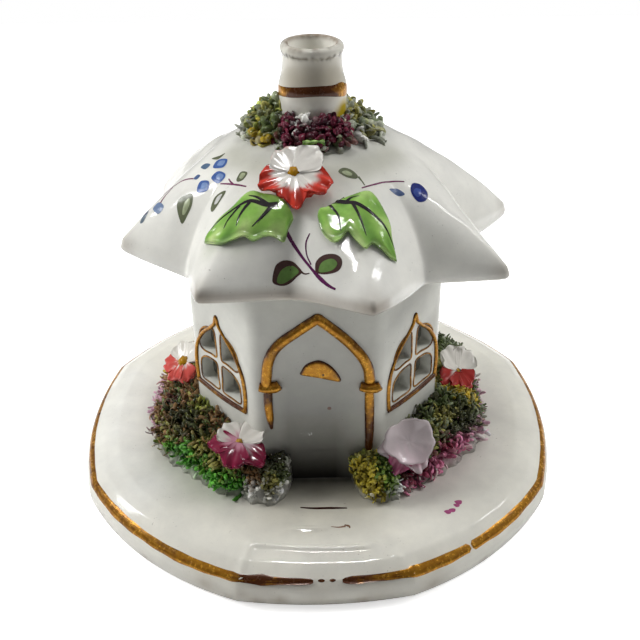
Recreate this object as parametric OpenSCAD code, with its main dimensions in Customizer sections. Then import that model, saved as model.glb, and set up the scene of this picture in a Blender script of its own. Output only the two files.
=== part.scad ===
// Pastille burner: a porcelain cottage with a loose eight-point roof, on a plate with a foot ring.
// Millimetres. The origin is the middle of the foot ring's face, +Z is up and the door faces -Y.
// Plan angles are measured from the door, positive towards +X.

/* [Plate] */
// Radius to the gilt edge, at the middle of a side
base_r = 54.8; // [50:0.2:70]
// Height of the floor that the house stands on
base_h = 9; // [8:0.1:14]
// How far the gilt edge lies below the floor
edge_drop = 2.8; // [1:0.1:4]
// Width of the bevel between the floor and the gilt edge
bevel_w = 6.8; // [3:0.1:8]
// How far the rim stands out below the gilt edge
rim_out = 0.9; // [0:0.1:2]
// How far the sides are flattened, from 0 for round to 1 for straight
base_flat = 0.4; // [0:0.05:1]
// Thickness of the floor
floor_t = 5; // [3:0.1:6]
// Width of the foot ring
foot_w = 4; // [2:0.1:8]

/* [Walls] */
// Half of the house's width and depth, across the straight faces
wall_half = 27; // [24:0.1:30]
// Height of the wall
wall_h = 48.5; // [46:0.1:60]
// Thickness of the wall
wall_t = 3; // [2:0.1:4]
// Half width of the door face
front_half = 13; // [12:0.1:14]
// Half width of the side faces
side_half = 10.8; // [9:0.1:12]

/* [Door] */
// Half width of the arch, outside
arch_half = 11.2; // [9:0.1:11.8]
// Height of the springing above the floor
arch_spring = 27.5; // [20:0.1:28]
// Rise of the arch above its springing
arch_rise = 14.3; // [12:0.1:16]
// Width of the roll moulding
arch_w = 2.3; // [1.5:0.1:3]
// How far the moulding stands out
arch_out = 1.2; // [0.8:0.1:2]
// Height of the moulding's lower ends above the floor
arch_foot = 7; // [4:0.1:12]
// Radius of the corbel bosses
corbel_r = 1.8; // [1.3:0.1:2.4]
// Half width of the fanlight
fan_half = 4.1; // [3:0.1:5]
// Height of the fanlight
fan_h = 4; // [3:0.1:5]
// Height of the fanlight's sill above the floor
fan_sill = 27; // [22:0.1:28]
// How far the fanlight stands out
fan_out = 0.5; // [0.3:0.1:1]

/* [Windows] */
// Half width of the pierced opening
window_half = 6.7; // [5:0.1:7.2]
// Height of the window sill above the floor
window_sill = 17.5; // [14:0.1:20]
// Height of the window's straight sides
window_side = 8; // [5:0.1:10]
// Rise of the window's pointed head
window_rise = 8.5; // [7.5:0.1:12]
// Width of the mullion and the transom
mullion_w = 1.7; // [1.2:0.1:2.5]

/* [Roof] */
// Number of points
roof_points = 8; // [6:1:10]
// How far the roof is turned on the house, in degrees
roof_turn = -8.5; // [-14:0.5:14]
// How far a point reaches past the straight wall faces
point_reach = 16.3; // [10:0.1:20]
// How far the eave between points reaches past the straight wall faces
eave_reach = 5.4; // [4.5:0.1:8]
// Height of the points above the wall top
point_h = 2.1; // [0:0.1:6]
// Height of the eave between points above the wall top
eave_h = 0.8; // [0:0.1:4]
// Height of the crown above the wall top
roof_rise = 22.5; // [18:0.1:30]
// How far the front points stand above, and the back points below, their mean
roof_tilt = 2; // [0:0.1:3]
// How far the points on the right reach further than their mean
roof_skew = 1.7; // [0:0.1:2.5]
// Thickness of the roof at the crown
roof_t = 3; // [2:0.1:4]
// Thickness of the eave
eave_t = 2.6; // [1.8:0.1:3.5]

/* [Collar] */
// Running clearance between the collar and the wall
collar_clear = 0.6; // [0.3:0.1:1.5]
// Thickness of the collar
collar_t = 3; // [2:0.1:4]
// How far the collar reaches down into the house
collar_drop = 7; // [4:0.1:12]
// Thickness of the flange that rests on the wall
flange_t = 2; // [1.2:0.1:2.5]

/* [Chimney] */
// Height of the chimney above the crown
chimney_h = 17.4; // [12:0.1:30]
// Radius of the chimney at its foot
chimney_r = 6.9; // [6:0.1:8]
// How much slimmer the waist is than the foot
chimney_waist = 1.1; // [0:0.1:1.2]
// Radius of the flue
flue_r = 4.3; // [3.5:0.1:4.8]
// Radius of the rolled lip
lip_r = 0.95; // [0.7:0.05:1.1]

/* [Moss] */
// Width of the banks round the wall foot
bank_w = 11; // [6:0.1:13]
// Height of the banks
bank_h = 11; // [7:0.1:13]
// Gap between the banks and the wall
bank_gap = 0.6; // [0.4:0.1:0.9]
// Width of the tufts beside the door
tuft_w = 8; // [5:0.1:10]
// Height of the tufts
tuft_h = 7.5; // [4:0.1:9]
// Width of the moss round the chimney
ring_w = 6.5; // [4:0.1:8]
// Height of the moss round the chimney
ring_h = 5.5; // [3:0.1:7]
// How deep the moss is broken up, as a share of its size
moss_rough = 0.22; // [0:0.01:0.35]

/* [Flowers] */
// Radius of the flowers on the banks
flower_r = 6.4; // [4:0.1:7]
// Radius of the large flower on the roof
roof_flower_r = 7.8; // [5:0.1:9]
// Thickness of the petals
petal_t = 1.1; // [0.8:0.1:1.6]
// How far the petals cup upward
petal_cup = 2.2; // [0:0.1:3.5]
// Radius of a flower's heart
eye_r = 1.7; // [1:0.1:2]
// Thickness of the raised leaves
leaf_t = 1.2; // [0.8:0.1:2]
// Half width of the large leaves
leaf_half = 5; // [3:0.1:6]

/* [Pastille] */
// Radius of the pastille at its foot
pastille_r = 6; // [3:0.1:9]
// Height of the pastille
pastille_h = 16; // [8:0.1:30]
// Radius of the pastille's blunt top
pastille_top = 1.6; // [0.5:0.1:2.5]

/* [Hidden] */
$fn = 64;

// Heights that pieces share
wall_top = base_h + wall_h;
crown_z = wall_top + roof_rise;

// The plate is an octagon with bulging sides, and steps in plan follow its sides and corners
plate_sides = 8;
plate_steps = 64;
crease_r = base_r - bevel_w;
edge_z = base_h - edge_drop;
rim_rise = 1;
rim_z = edge_z / 2 + rim_rise;
recess_z = base_h - floor_t;
recess_slope = 1.5;

// The house plan is a square with its corners cut off, and a cut face carries a window
cut_x = wall_half - side_half;
cut_y = wall_half - front_half;
cut_len = norm([cut_x, cut_y]);
cut_face = (cut_x * front_half + cut_y * wall_half) / cut_len;
cut_angle = atan2(cut_x, cut_y);

// Bulging of the roof's dome, of its eaves in plan and of its folds between points
crown_margin = 2.1;
crown_r = chimney_r + crown_margin;
point_r = wall_half + point_reach;
eave_r = wall_half + eave_reach;
point_z = wall_top + point_h;
eave_z = wall_top + eave_h;
dome_bulge = 1.39;
eave_bulge = 1.35;
fold_bulge = 5;
tilt_angle = -25;
roof_step = 360 / roof_points;
roof_steps = roof_points * 10;
rim_half = eave_t / 2;
// One fold, to the right of the door, lies nearer to the point beyond it
shifted_fold = 1;
fold_shift = 6;

collar_r = wall_half - wall_t - collar_clear;
flange_inset = 1.2;
flange_r = eave_r - eave_t - flange_inset;

// Clearance between a piece of decoration and the curved face that it lies on
seat_gap = 0.3;

// Plan angles between which each bank and each part of the chimney's moss runs
hedge_left_span = [-122, -27];
hedge_right_span = [28, 128];
hedge_back_span = [134, 232];
tuft_left_span = [-26, -12];
tuft_right_span = [13, 27];
moss_left_span = [-128, -48];
moss_front_span = [-44, 40];
moss_right_span = [44, 128];
moss_back_span = [133, 226];
// The moss in front of the chimney is slighter, and that in front of it and behind it lower
front_slim = 1.5;
ring_low = 1;
// Angle between neighbouring sections of moss, and the turns of its round top at which a section has points
moss_step = 5;
moss_turns = [20, 40, 60, 78, 90];

// Place of each flower: plan angle, distance out from the wall, height above the banks and lean outwards
flower_out = 5.2;
flower_lean = 42;
left_rise = -0.4;
right_rise = 0.2;
side_left_rise = 1.4;
side_right_rise = 1.5;
left_place = [-34, flower_out, left_rise, flower_lean];
right_place = [37, flower_out, right_rise, flower_lean];
side_left_place = [-96, flower_out, side_left_rise, flower_lean];
side_right_place = [87, flower_out, side_right_rise, flower_lean];
// The roof flower lies in the front fold
roof_flower_angle = -9;
roof_flower_out = 20;
roof_flower_lean = 34;
petal_count = 5;
petal_notch = 0.72;
petal_steps = 40;
calyx_r = 1.3;

// The leaves start beside the flower and end near a point's ridge: plan angle and distance from the axis
leaf_left_root = 24.5;
leaf_left_tip = 32.5;
leaf_right_root = 25;
leaf_right_tip = 34;
leaf_small_root = 12.5;
leaf_small_tip = 15.5;
leaf_left_ends = [[-15, leaf_left_root], [-40, leaf_left_tip]];
leaf_right_ends = [[4, leaf_right_root], [25, leaf_right_tip]];
leaf_small_ends = [[2, leaf_small_root], [16, leaf_small_tip]];
leaf_stations = 10;
leaf_lobes = 3;

function polar(r, a, z) = [r * sin(a), -r * cos(a), z];
function turned(a) = (a % 360 + 360) % 360;

// Radius of the plate at a plan angle, from the radius at the middle of a side
function side_angle(a) = let (step = 360 / plate_sides) (turned(a) + step / 2) % step - step / 2;
function plate_radius(r, a) = r * (1 + base_flat * (1 / cos(side_angle(a)) - 1));

// Distance from the axis to the wall's outside at a plan angle
function wall_reach(a) =
    let (s = abs(sin(a)), c = abs(cos(a)))
    min(wall_half / max(s, c), cut_face * cut_len / (cut_x * s + cut_y * c));

// House plan, drawn in by a wall's thickness
function house_plan(inset) =
    let (h = wall_half - inset)
    let (f = front_half - inset * tan(cut_angle / 2))
    let (s = side_half - inset * tan((90 - cut_angle) / 2))
    [[f, -h], [h, -s], [h, s], [f, h], [-f, h], [-h, s], [-h, -s], [-f, -h]];

// How far a plan angle lies into a fold: 0 on a point's ridge, 1 at the bottom of the fold
function fold_at(a) =
    let (t = turned(a - roof_turn) / roof_step + 0.5)
    let (k = floor(t))
    let (middle = 0.5 + (k == shifted_fold ? fold_shift / roof_step : 0))
    t - k < middle ? (t - k) / middle : (1 - t + k) / (1 - middle);

// Eave in plan and in height, and the outside and inside of the roof
function eave_radius(a) =
    eave_r + (point_r + roof_skew * sin(a) - eave_r) * pow(1 - fold_at(a), eave_bulge);
function eave_height(a) =
    let (w = fold_at(a))
    eave_z * w + (point_z + roof_tilt * cos(a - tilt_angle)) * (1 - w);
function dome_z(r) =
    crown_z - (crown_z - point_z) * pow(max(0, r - crown_r) / (point_r - crown_r), dome_bulge);
function roof_z(r, a) =
    let (e = eave_radius(a))
    let (u = max(0, r - crown_r) / (e - crown_r))
    dome_z(r) - (dome_z(e) - eave_height(a) - rim_half) * pow(u, fold_bulge);
function roof_inside_z(r, a) =
    let (e = eave_radius(a) - eave_t)
    let (u = max(0, r - crown_r) / (e - crown_r))
    dome_z(r) - roof_t - (dome_z(e) - roof_t - eave_height(a) + rim_half) * pow(u, fold_bulge);

// Half width of a leaf along its length, with scalloped edges
function leaf_width(u) = pow(sin(180 * pow(u, 0.8)), 0.7) * (1 + 0.12 * cos(360 * leaf_lobes * u));

// Skin over rings of equally many points, an even number: closed into a loop, or capped at both ends.
// A cap is a strip of triangles that joins the first half of its ring to the second half.
module skin(rings, loop = false) {
    n = len(rings[0]);
    m = len(rings);
    sides = [for (i = [0 : loop ? m - 1 : m - 2], j = [0 : n - 1])
        let (a = i * n, b = (i + 1) % m * n, k = (j + 1) % n)
        each [[a + j, a + k, b + k], [a + j, b + k, b + j]]];
    strip = [for (j = [0 : n / 2 - 2])
        each [[j, j + 1, n - 2 - j], [j, n - 2 - j, n - 1 - j]]];
    first_cap = [for (face = strip) [face[2], face[1], face[0]]];
    last_cap = [for (face = strip) [for (j = face) (m - 1) * n + j]];
    polyhedron(
        points = [for (ring = rings) each ring],
        faces = loop ? sides : concat(sides, first_cap, last_cap));
}

// Outline with a pointed head: straight sides up to the springing, then two arcs
module pointed_outline(half, side, rise, inset = 0) {
    centre = (rise * rise - half * half) / (2 * half);
    arc_r = half + centre - inset;
    intersection() {
        translate([centre, side])
            circle(r = arc_r);
        translate([-centre, side])
            circle(r = arc_r);
        translate([-half, side])
            square([2 * half, rise]);
    }
    translate([inset - half, 0])
        square([2 * (half - inset), side]);
}

// Stands a flat outline up on the door face, with its lower edge at a height
module on_door(z, out) {
    translate([0, -wall_half, z])
        rotate([90, 0, 0])
            linear_extrude(out)
                children();
}

// Bank of moss round a wall or pot: a broken quarter round, drawn in at both ends
module moss_bank(span, width, height, inner, ground) {
    steps = ceil((span[1] - span[0]) / moss_step);
    rings = [for (i = [0 : steps])
        let (a = span[0] + (span[1] - span[0]) * i / steps)
        let (full = 0.4 + 0.6 * pow(sin(180 * i / steps), 0.25))
        let (r0 = inner(a), w = width * full * (1 - moss_rough * (0.5 + 0.5 * sin(23 * a))))
        concat(
            [for (k = [0 : 4]) let (r = r0 + w * k / 4) polar(r, a, ground(r, a))],
            [for (t = moss_turns)
                let (r = r0 + w * pow(cos(t), 0.8))
                let (rough = 1 - moss_rough * (0.5 + 0.5 * sin(37 * a + 5 * t)))
                polar(r, a, ground(r, a) + height * full * rough * pow(sin(t), 0.8))])];
    skin(rings);
}

// Bank of moss on the plate, along the wall foot
module hedge(span, width, height) {
    moss_bank(span, width, height,
        function(a) wall_reach(a) + bank_gap,
        function(r, a) base_h);
}

// Moss on the roof, round the chimney foot
module ring_moss(span, width, height) {
    moss_bank(span, width, height,
        function(a) chimney_r + seat_gap,
        function(r, a) roof_z(r, a) + seat_gap);
}

// Flower head facing +Z: lobed petals that cup upward round a flat heart, on a short calyx
module rosette(radius) {
    lobe = function(t) petal_notch + (1 - petal_notch) * pow(abs(cos(petal_count * t / 2)), 0.6);
    heart = (eye_r + seat_gap) / radius;
    ring = function(share, z)
        [for (i = [0 : petal_steps - 1])
            let (t = 360 * i / petal_steps)
            let (r = radius * share * (share > heart ? lobe(t) : 1))
            [r * cos(t), r * sin(t), z]];
    cup = function(share) petal_cup * pow(share - heart, 1.5);
    upper = [for (share = [heart, 0.6, 0.85, 1]) ring(share, cup(share))];
    lower = [for (share = [0.97, 0.6, heart]) ring(share, cup(share) - petal_t)];
    calyx = ring(calyx_r / radius, -2 * petal_t);
    skin(concat(upper, lower, [calyx]));
}

// Heart of a flower: a dome on its flat middle
module flower_eye() {
    intersection() {
        sphere(r = eye_r);
        translate([-eye_r, -eye_r, 0])
            cube(2 * eye_r);
    }
}

// Moves a flower to its place on the banks
module on_bank(place) {
    translate(polar(wall_reach(place[0]) + place[1], place[0], base_h + bank_h + place[2]))
        rotate([0, 0, place[0]])
            rotate([place[3], 0, 0])
                children();
}

// Moves the large flower to its place on the roof, clear of the roof by its calyx
module on_roof() {
    lift = 2 * petal_t + seat_gap;
    out = roof_flower_out + lift * sin(roof_flower_lean);
    surface = roof_z(roof_flower_out, roof_flower_angle);
    translate(polar(out, roof_flower_angle, surface + lift * cos(roof_flower_lean)))
        rotate([0, 0, roof_flower_angle])
            rotate([roof_flower_lean, 0, 0])
                children();
}

// Leaf between two points of the roof, lying on the roof's outside
module roof_leaf(ends, half) {
    root = polar(ends[0][1], ends[0][0], 0);
    tip = polar(ends[1][1], ends[1][0], 0);
    along = tip - root;
    across = [along.y, -along.x, 0] / norm(along);
    rings = [for (i = [0 : leaf_stations])
        let (u = 0.03 + 0.94 * i / leaf_stations)
        let (spine = root + along * u, w = half * leaf_width(u))
        let (row = [for (v = [-1 : 0.5 : 1])
            let (p = spine + across * v * w)
            let (r = norm([p.x, p.y]))
            [p.x, p.y, roof_z(r, atan2(p.x, -p.y)) + seat_gap]])
        concat(
            row,
            [for (k = [4 : -1 : 0])
                let (v = k / 2 - 1)
                row[k] + [0, 0, leaf_t * (1 - 0.5 * v * v)]])];
    skin(rings);
}

module base_plate() {
    at = function(r, z) [for (i = [0 : plate_steps - 1])
        let (a = 360 * i / plate_steps)
        polar(plate_radius(r, a), a, z)];
    foot_r = base_r + rim_out - 0.5;
    color("white")
        skin([
            at(crease_r, base_h),
            at(base_r, edge_z),
            at(base_r + rim_out, rim_z),
            at(foot_r, 0),
            at(foot_r - foot_w, 0),
            at(foot_r - foot_w - recess_slope, recess_z)]);
}

module wall_shell() {
    color("white")
        difference() {
            translate([0, 0, base_h])
                linear_extrude(wall_h)
                    difference() {
                        polygon(house_plan(0));
                        polygon(house_plan(wall_t));
                    }
            for (a = [cut_angle, 180 - cut_angle, 180 + cut_angle, -cut_angle])
                rotate([0, 0, a])
                    translate([0, wall_t + 1 - cut_face, base_h + window_sill])
                        rotate([90, 0, 0])
                            linear_extrude(wall_t + 2)
                                window_lights();
        }
}

// The four openings of a window, between its mullion and its transom
module window_lights() {
    transom = window_side - mullion_w / 2;
    difference() {
        pointed_outline(window_half, window_side, window_rise);
        translate([-mullion_w / 2, -1])
            square([mullion_w, window_side + window_rise + 2]);
        translate([-window_half - 1, transom])
            square([2 * window_half + 2, mullion_w]);
    }
}

module door_arch() {
    color("goldenrod")
        on_door(base_h, arch_out) {
            difference() {
                pointed_outline(arch_half, arch_spring, arch_rise);
                pointed_outline(arch_half, arch_spring, arch_rise, arch_w);
                translate([-arch_half - 1, -1])
                    square([2 * arch_half + 2, arch_foot + 1]);
            }
            for (side = [-1, 1])
                translate([side * (arch_half - arch_w / 2), arch_spring - 2 * corbel_r])
                    circle(r = corbel_r);
        }
}

module fanlight() {
    disc_r = (fan_half * fan_half + fan_h * fan_h) / (2 * fan_h);
    color("goldenrod")
        on_door(base_h + fan_sill, fan_out)
            intersection() {
                translate([0, fan_h - disc_r])
                    circle(r = disc_r);
                translate([-fan_half, 0])
                    square([2 * fan_half, fan_h]);
            }
}

module hedge_left() {
    color("darkolivegreen")
        hedge(hedge_left_span, bank_w, bank_h);
}

module hedge_right() {
    color("darkolivegreen")
        hedge(hedge_right_span, bank_w, bank_h);
}

module hedge_back() {
    color("darkolivegreen")
        hedge(hedge_back_span, bank_w, bank_h);
}

module tuft_left() {
    color("olivedrab")
        hedge(tuft_left_span, tuft_w, tuft_h);
}

module tuft_right() {
    color("olivedrab")
        hedge(tuft_right_span, tuft_w, tuft_h);
}

module flower_left() {
    color("mediumvioletred")
        on_bank(left_place)
            rosette(flower_r);
}

module flower_left_eye() {
    color("gold")
        on_bank(left_place)
            flower_eye();
}

module flower_right() {
    color("mistyrose")
        on_bank(right_place)
            rosette(flower_r);
}

module flower_right_eye() {
    color("palegoldenrod")
        on_bank(right_place)
            flower_eye();
}

module flower_side_left() {
    color("firebrick")
        on_bank(side_left_place)
            rosette(flower_r);
}

module flower_side_left_eye() {
    color("gold")
        on_bank(side_left_place)
            flower_eye();
}

module flower_side_right() {
    color("firebrick")
        on_bank(side_right_place)
            rosette(flower_r);
}

module flower_side_right_eye() {
    color("gold")
        on_bank(side_right_place)
            flower_eye();
}

module pastille() {
    color("saddlebrown")
        translate([0, 0, base_h])
            rotate_extrude()
                polygon([[0, 0], [pastille_r, 0], [pastille_top, pastille_h], [0, pastille_h]]);
}

module roof_shell() {
    angles = [for (i = [0 : roof_steps - 1]) roof_turn + 360 * i / roof_steps];
    crown = [for (a = angles) polar(flue_r, a, crown_z)];
    outside = [for (u = [0, 0.25, 0.5, 0.65, 0.78, 0.9, 1])
        [for (a = angles)
            let (r = crown_r + (eave_radius(a) - crown_r) * u)
            polar(r, a, roof_z(r, a))]];
    edge = [for (a = angles) polar(eave_radius(a), a, eave_height(a))];
    inside = [for (u = [1, 0.9, 0.78, 0.65, 0.5, 0.25, 0])
        [for (a = angles)
            let (r = crown_r + (eave_radius(a) - eave_t - crown_r) * u)
            polar(r, a, roof_inside_z(r, a))]];
    throat = [for (a = angles) polar(flue_r, a, crown_z - roof_t)];
    color("white")
        skin(concat([crown], outside, [edge], inside, [throat]), loop = true);
}

module roof_collar() {
    color("white")
        rotate_extrude()
            polygon([
                [collar_r - collar_t, wall_top - collar_drop],
                [collar_r, wall_top - collar_drop],
                [collar_r, wall_top],
                [flange_r, wall_top],
                [flange_r, wall_top + flange_t],
                [collar_r - collar_t, wall_top + flange_t]]);
}

module chimney() {
    waist_r = chimney_r - chimney_waist;
    waist_z = 0.75 * chimney_h;
    color("white")
        translate([0, 0, crown_z])
            rotate_extrude()
                union() {
                    polygon([
                        [flue_r, 0],
                        [chimney_r, 0],
                        [chimney_r, chimney_h / 3],
                        [waist_r, waist_z],
                        [waist_r, chimney_h - lip_r],
                        [flue_r, chimney_h - lip_r]]);
                    translate([flue_r + lip_r, chimney_h - lip_r])
                        circle(r = lip_r);
                }
}

module moss_left() {
    color("olive")
        ring_moss(moss_left_span, ring_w, ring_h);
}

module moss_front() {
    color("maroon")
        ring_moss(moss_front_span, ring_w - front_slim, ring_h - ring_low);
}

module moss_right() {
    color("darkseagreen")
        ring_moss(moss_right_span, ring_w, ring_h);
}

module moss_back() {
    color("olive")
        ring_moss(moss_back_span, ring_w, ring_h - ring_low);
}

module roof_flower() {
    color("firebrick")
        on_roof()
            rosette(roof_flower_r);
}

module roof_flower_eye() {
    color("gold")
        on_roof()
            flower_eye();
}

module leaf_left() {
    color("limegreen")
        roof_leaf(leaf_left_ends, leaf_half);
}

module leaf_right() {
    color("limegreen")
        roof_leaf(leaf_right_ends, leaf_half);
}

module leaf_small() {
    color("limegreen")
        roof_leaf(leaf_small_ends, leaf_half / 4);
}

base_plate();
wall_shell();
door_arch();
fanlight();
hedge_left();
hedge_right();
hedge_back();
tuft_left();
tuft_right();
flower_left();
flower_left_eye();
flower_right();
flower_right_eye();
flower_side_left();
flower_side_left_eye();
flower_side_right();
flower_side_right_eye();
pastille();
roof_shell();
roof_collar();
chimney();
moss_left();
moss_front();
moss_right();
moss_back();
roof_flower();
roof_flower_eye();
leaf_left();
leaf_right();
leaf_small();
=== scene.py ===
"""A porcelain cottage pastille burner, dressed around its CAD frame.

Lengths are millimetres and angles degrees, unless a name says otherwise. Plan angles are measured from the
door, positive towards +X, as in the part's source.
"""

import math
import random

import bmesh
import bpy
import numpy as np
from mathutils import Matrix, Vector, noise
from mathutils.bvhtree import BVHTree


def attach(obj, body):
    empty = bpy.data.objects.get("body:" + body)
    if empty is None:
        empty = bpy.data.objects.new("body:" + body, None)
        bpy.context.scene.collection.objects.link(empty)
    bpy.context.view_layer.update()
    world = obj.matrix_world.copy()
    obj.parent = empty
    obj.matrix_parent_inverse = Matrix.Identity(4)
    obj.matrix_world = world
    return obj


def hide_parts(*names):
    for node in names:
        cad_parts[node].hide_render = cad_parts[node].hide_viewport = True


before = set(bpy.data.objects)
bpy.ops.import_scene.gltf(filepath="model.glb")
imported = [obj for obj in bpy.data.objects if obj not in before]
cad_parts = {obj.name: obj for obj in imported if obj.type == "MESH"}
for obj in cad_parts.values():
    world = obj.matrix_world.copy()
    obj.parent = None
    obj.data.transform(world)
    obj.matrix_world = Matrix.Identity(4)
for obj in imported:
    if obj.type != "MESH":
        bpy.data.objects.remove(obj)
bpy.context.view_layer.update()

MM = 0.001

# Sizes that the part's source gives
BASE_R, BASE_H, CREASE_R, EDGE_Z = 54.8, 9.0, 48.0, 6.2
RIM_OUT, FOOT_OUT, FOOT_W, RECESS_Z = 0.9, 0.4, 4.0, 4.0
WALL_HALF, WALL_TOP, WALL_T = 27.0, 57.5, 3.0
FRONT_HALF, SIDE_HALF = 13.0, 10.8
CROWN_R, CROWN_Z, POINT_R, EAVE_R = 9.0, 80.0, 43.3, 32.4
POINT_Z, EAVE_Z, ROOF_T, EAVE_T = 59.6, 58.3, 3.0, 2.6
ROOF_TURN, ROOF_STEP, ROOF_TILT, ROOF_SKEW = -8.5, 45.0, 2.0, 1.7
TILT_ANGLE, FOLD_SHIFT = -25.0, 6.0
DOME_BULGE, EAVE_BULGE, FOLD_BULGE = 1.39, 1.35, 5.0
CHIMNEY_R, FLUE_R, CHIMNEY_TOP = 6.9, 4.3, 97.4
BANK_W, BANK_H, BANK_GAP, TUFT_W, TUFT_H = 11.0, 11.0, 0.6, 8.0, 7.5
RING_W, RING_H, SEAT_GAP = 6.5, 5.5, 0.3

CUT_X, CUT_Y = WALL_HALF - SIDE_HALF, WALL_HALF - FRONT_HALF
CUT_LEN = math.hypot(CUT_X, CUT_Y)
CUT_FACE = (CUT_X * FRONT_HALF + CUT_Y * WALL_HALF) / CUT_LEN
CUT_ANGLE = math.degrees(math.atan2(CUT_X, CUT_Y))


def tone(red, green, blue):
    """A colour as seen on a screen, 0 to 255, as linear light."""
    levels = [c / 255 for c in (red, green, blue)]
    return np.array([c / 12.92 if c < 0.04045 else ((c + 0.055) / 1.055) ** 2.4 for c in levels])


WHITE = tone(233, 231, 221)
# Copies of the glaze white: the first whiter, as painted light on the roof, the second greyer, as painted
# shade on the wall
ROOF_LIT_WHITE = tone(241, 240, 233)
WALL_SHADED_WHITE = tone(222, 222, 214)
PALE = tone(214, 214, 210)
WASH_AND_SHADE_GREY = tone(176, 178, 170)


def polar(r, a, z):
    """Points at radii, plan angles and heights."""
    a = np.radians(a)
    return np.stack(np.broadcast_arrays(r * np.sin(a), -r * np.cos(a), z), -1).astype(float)


def unit(rows):
    """Rows of directions, each brought to length 1."""
    return rows / np.linalg.norm(rows, axis=1)[:, None]


def blend(one, two, share):
    """One value with a share of another mixed in."""
    return one * (1 - share) + two * share


def clouds(points):
    """Smooth noise at points."""
    return np.array([noise.noise(Vector(p)) for p in points])


def stretch(count, values):
    """Values at that many even places along a line, from fewer values that are even along it too."""
    return np.interp(np.linspace(0, 1, count), np.linspace(0, 1, len(values)), values)


def smooth_path(points, per=8, closed=False):
    """Points along a smooth curve through the given ones."""
    pts = np.asarray(points, float)
    if closed:
        padded = np.vstack([pts[-1], pts, pts[:2]])
    else:
        padded = np.vstack([2 * pts[0] - pts[1], pts, 2 * pts[-1] - pts[-2]])
    out = []
    for p0, p1, p2, p3 in zip(padded, padded[1:], padded[2:], padded[3:]):
        for t in np.arange(per) / per:
            out.append(0.5 * (2 * p1 + (p2 - p0) * t + (2 * p0 - 5 * p1 + 4 * p2 - p3) * t ** 2
                              + (3 * p1 - p0 - 3 * p2 + p3) * t ** 3))
    if not closed:
        out.append(pts[-1])
    return np.array(out)


def resample(path, count):
    """That many points, evenly spread along a path."""
    path = np.asarray(path, float)
    run = np.concatenate([[0], np.cumsum(np.linalg.norm(np.diff(path, axis=0), axis=1))])
    at = np.linspace(0, run[-1], count)
    return np.stack([np.interp(at, run, path[:, k]) for k in range(path.shape[1])], 1)


def grid_faces(rows, columns, wrap_rows=False, wrap_columns=False):
    """Faces between neighbouring points of a grid, closed on itself where it wraps."""
    faces = []
    for i in range(rows if wrap_rows else rows - 1):
        for j in range(columns if wrap_columns else columns - 1):
            a, b = i * columns, (i + 1) % rows * columns
            k = (j + 1) % columns
            faces.append((a + j, a + k, b + k, b + j))
    return faces


def turned(faces):
    """Faces seen from their other side."""
    return [face[::-1] for face in faces]


def fan(start, count, tip):
    """Triangles from a ring of points to a tip."""
    return [(start + j, start + (j + 1) % count, tip) for j in range(count)]


def dome_faces(rings, per):
    """Faces of a dome of rings with that many points each and a tip after them."""
    return grid_faces(rings, per, wrap_columns=True) + fan((rings - 1) * per, per, rings * per)


def end_faces(rows, columns):
    """The two ends of a tube whose sections run across its rows."""
    start = tuple(k * columns for k in range(rows))
    return [start, tuple(k + columns - 1 for k in start[::-1])]


def sheet_faces(rows, columns):
    """Faces of a closed thin sheet: a grid of points on top, the same below, and the border between them."""
    n, grid = rows * columns, grid_faces(rows, columns)
    border = ([i * columns for i in range(rows)] + [(rows - 1) * columns + j for j in range(1, columns)]
              + [i * columns + columns - 1 for i in range(rows - 2, -1, -1)]
              + list(range(columns - 2, 0, -1)))
    return (turned(grid) + [tuple(n + i for i in face) for face in grid]
            + [(b, n + b, n + a, a) for a, b in zip(border, border[1:] + border[:1])])


def both_sides(x, y, z, thick):
    """Points on top of a thin sheet, then those below it."""
    sides = [np.stack(np.broadcast_arrays(x, y, z + way * thick), -1) for way in (0.5, -0.5)]
    return np.vstack([side.reshape(-1, 3) for side in sides])


def link(obj):
    """Puts an object into the scene."""
    bpy.context.scene.collection.objects.link(obj)
    return obj


def new_mesh(name, points, faces):
    mesh = bpy.data.meshes.new(name)
    mesh.from_pydata((points * MM).tolist(), [], faces)
    return mesh


def set_paint(mesh, colours):
    """Gives each point of a mesh its own colour, which the materials read."""
    layer = mesh.color_attributes.new("paint", "FLOAT_COLOR", "POINT")
    layer.data.foreach_set("color", np.column_stack([colours, np.ones(len(colours))]).ravel())


class Clay:
    """Points, faces, paint and wear of one piece, gathered from its lumps."""

    def __init__(self):
        self.points, self.faces, self.paint, self.wear = [], [], [], []
        self.count = 0

    def add(self, points, faces, paint=WHITE, wear=0.0):
        points = np.asarray(points, float).reshape(-1, 3)
        self.points.append(points)
        self.faces.extend(tuple(i + self.count for i in face) for face in faces)
        self.paint.append(np.broadcast_to(np.asarray(paint, float), points.shape))
        self.wear.append(np.broadcast_to(np.asarray(wear, float), len(points)))
        self.count += len(points)

    def make(self, name, material, body, slot, stands_for=()):
        mesh = new_mesh(name, np.vstack(self.points), self.faces)
        set_paint(mesh, np.vstack(self.paint))
        layer = mesh.attributes.new("wear", "FLOAT", "POINT")
        layer.data.foreach_set("value", np.concatenate(self.wear))
        mesh.shade_smooth()
        return place(link(bpy.data.objects.new(name, mesh)), material, body, slot, stands_for)


def place(obj, material, body, slot, stands_for=()):
    """Puts a piece on its body with its material, and hides the CAD parts that it stands for."""
    obj.data.materials.clear()
    obj.data.materials.append(material)
    if stands_for:
        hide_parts(*stands_for)
    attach(obj, body)
    return obj


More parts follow.
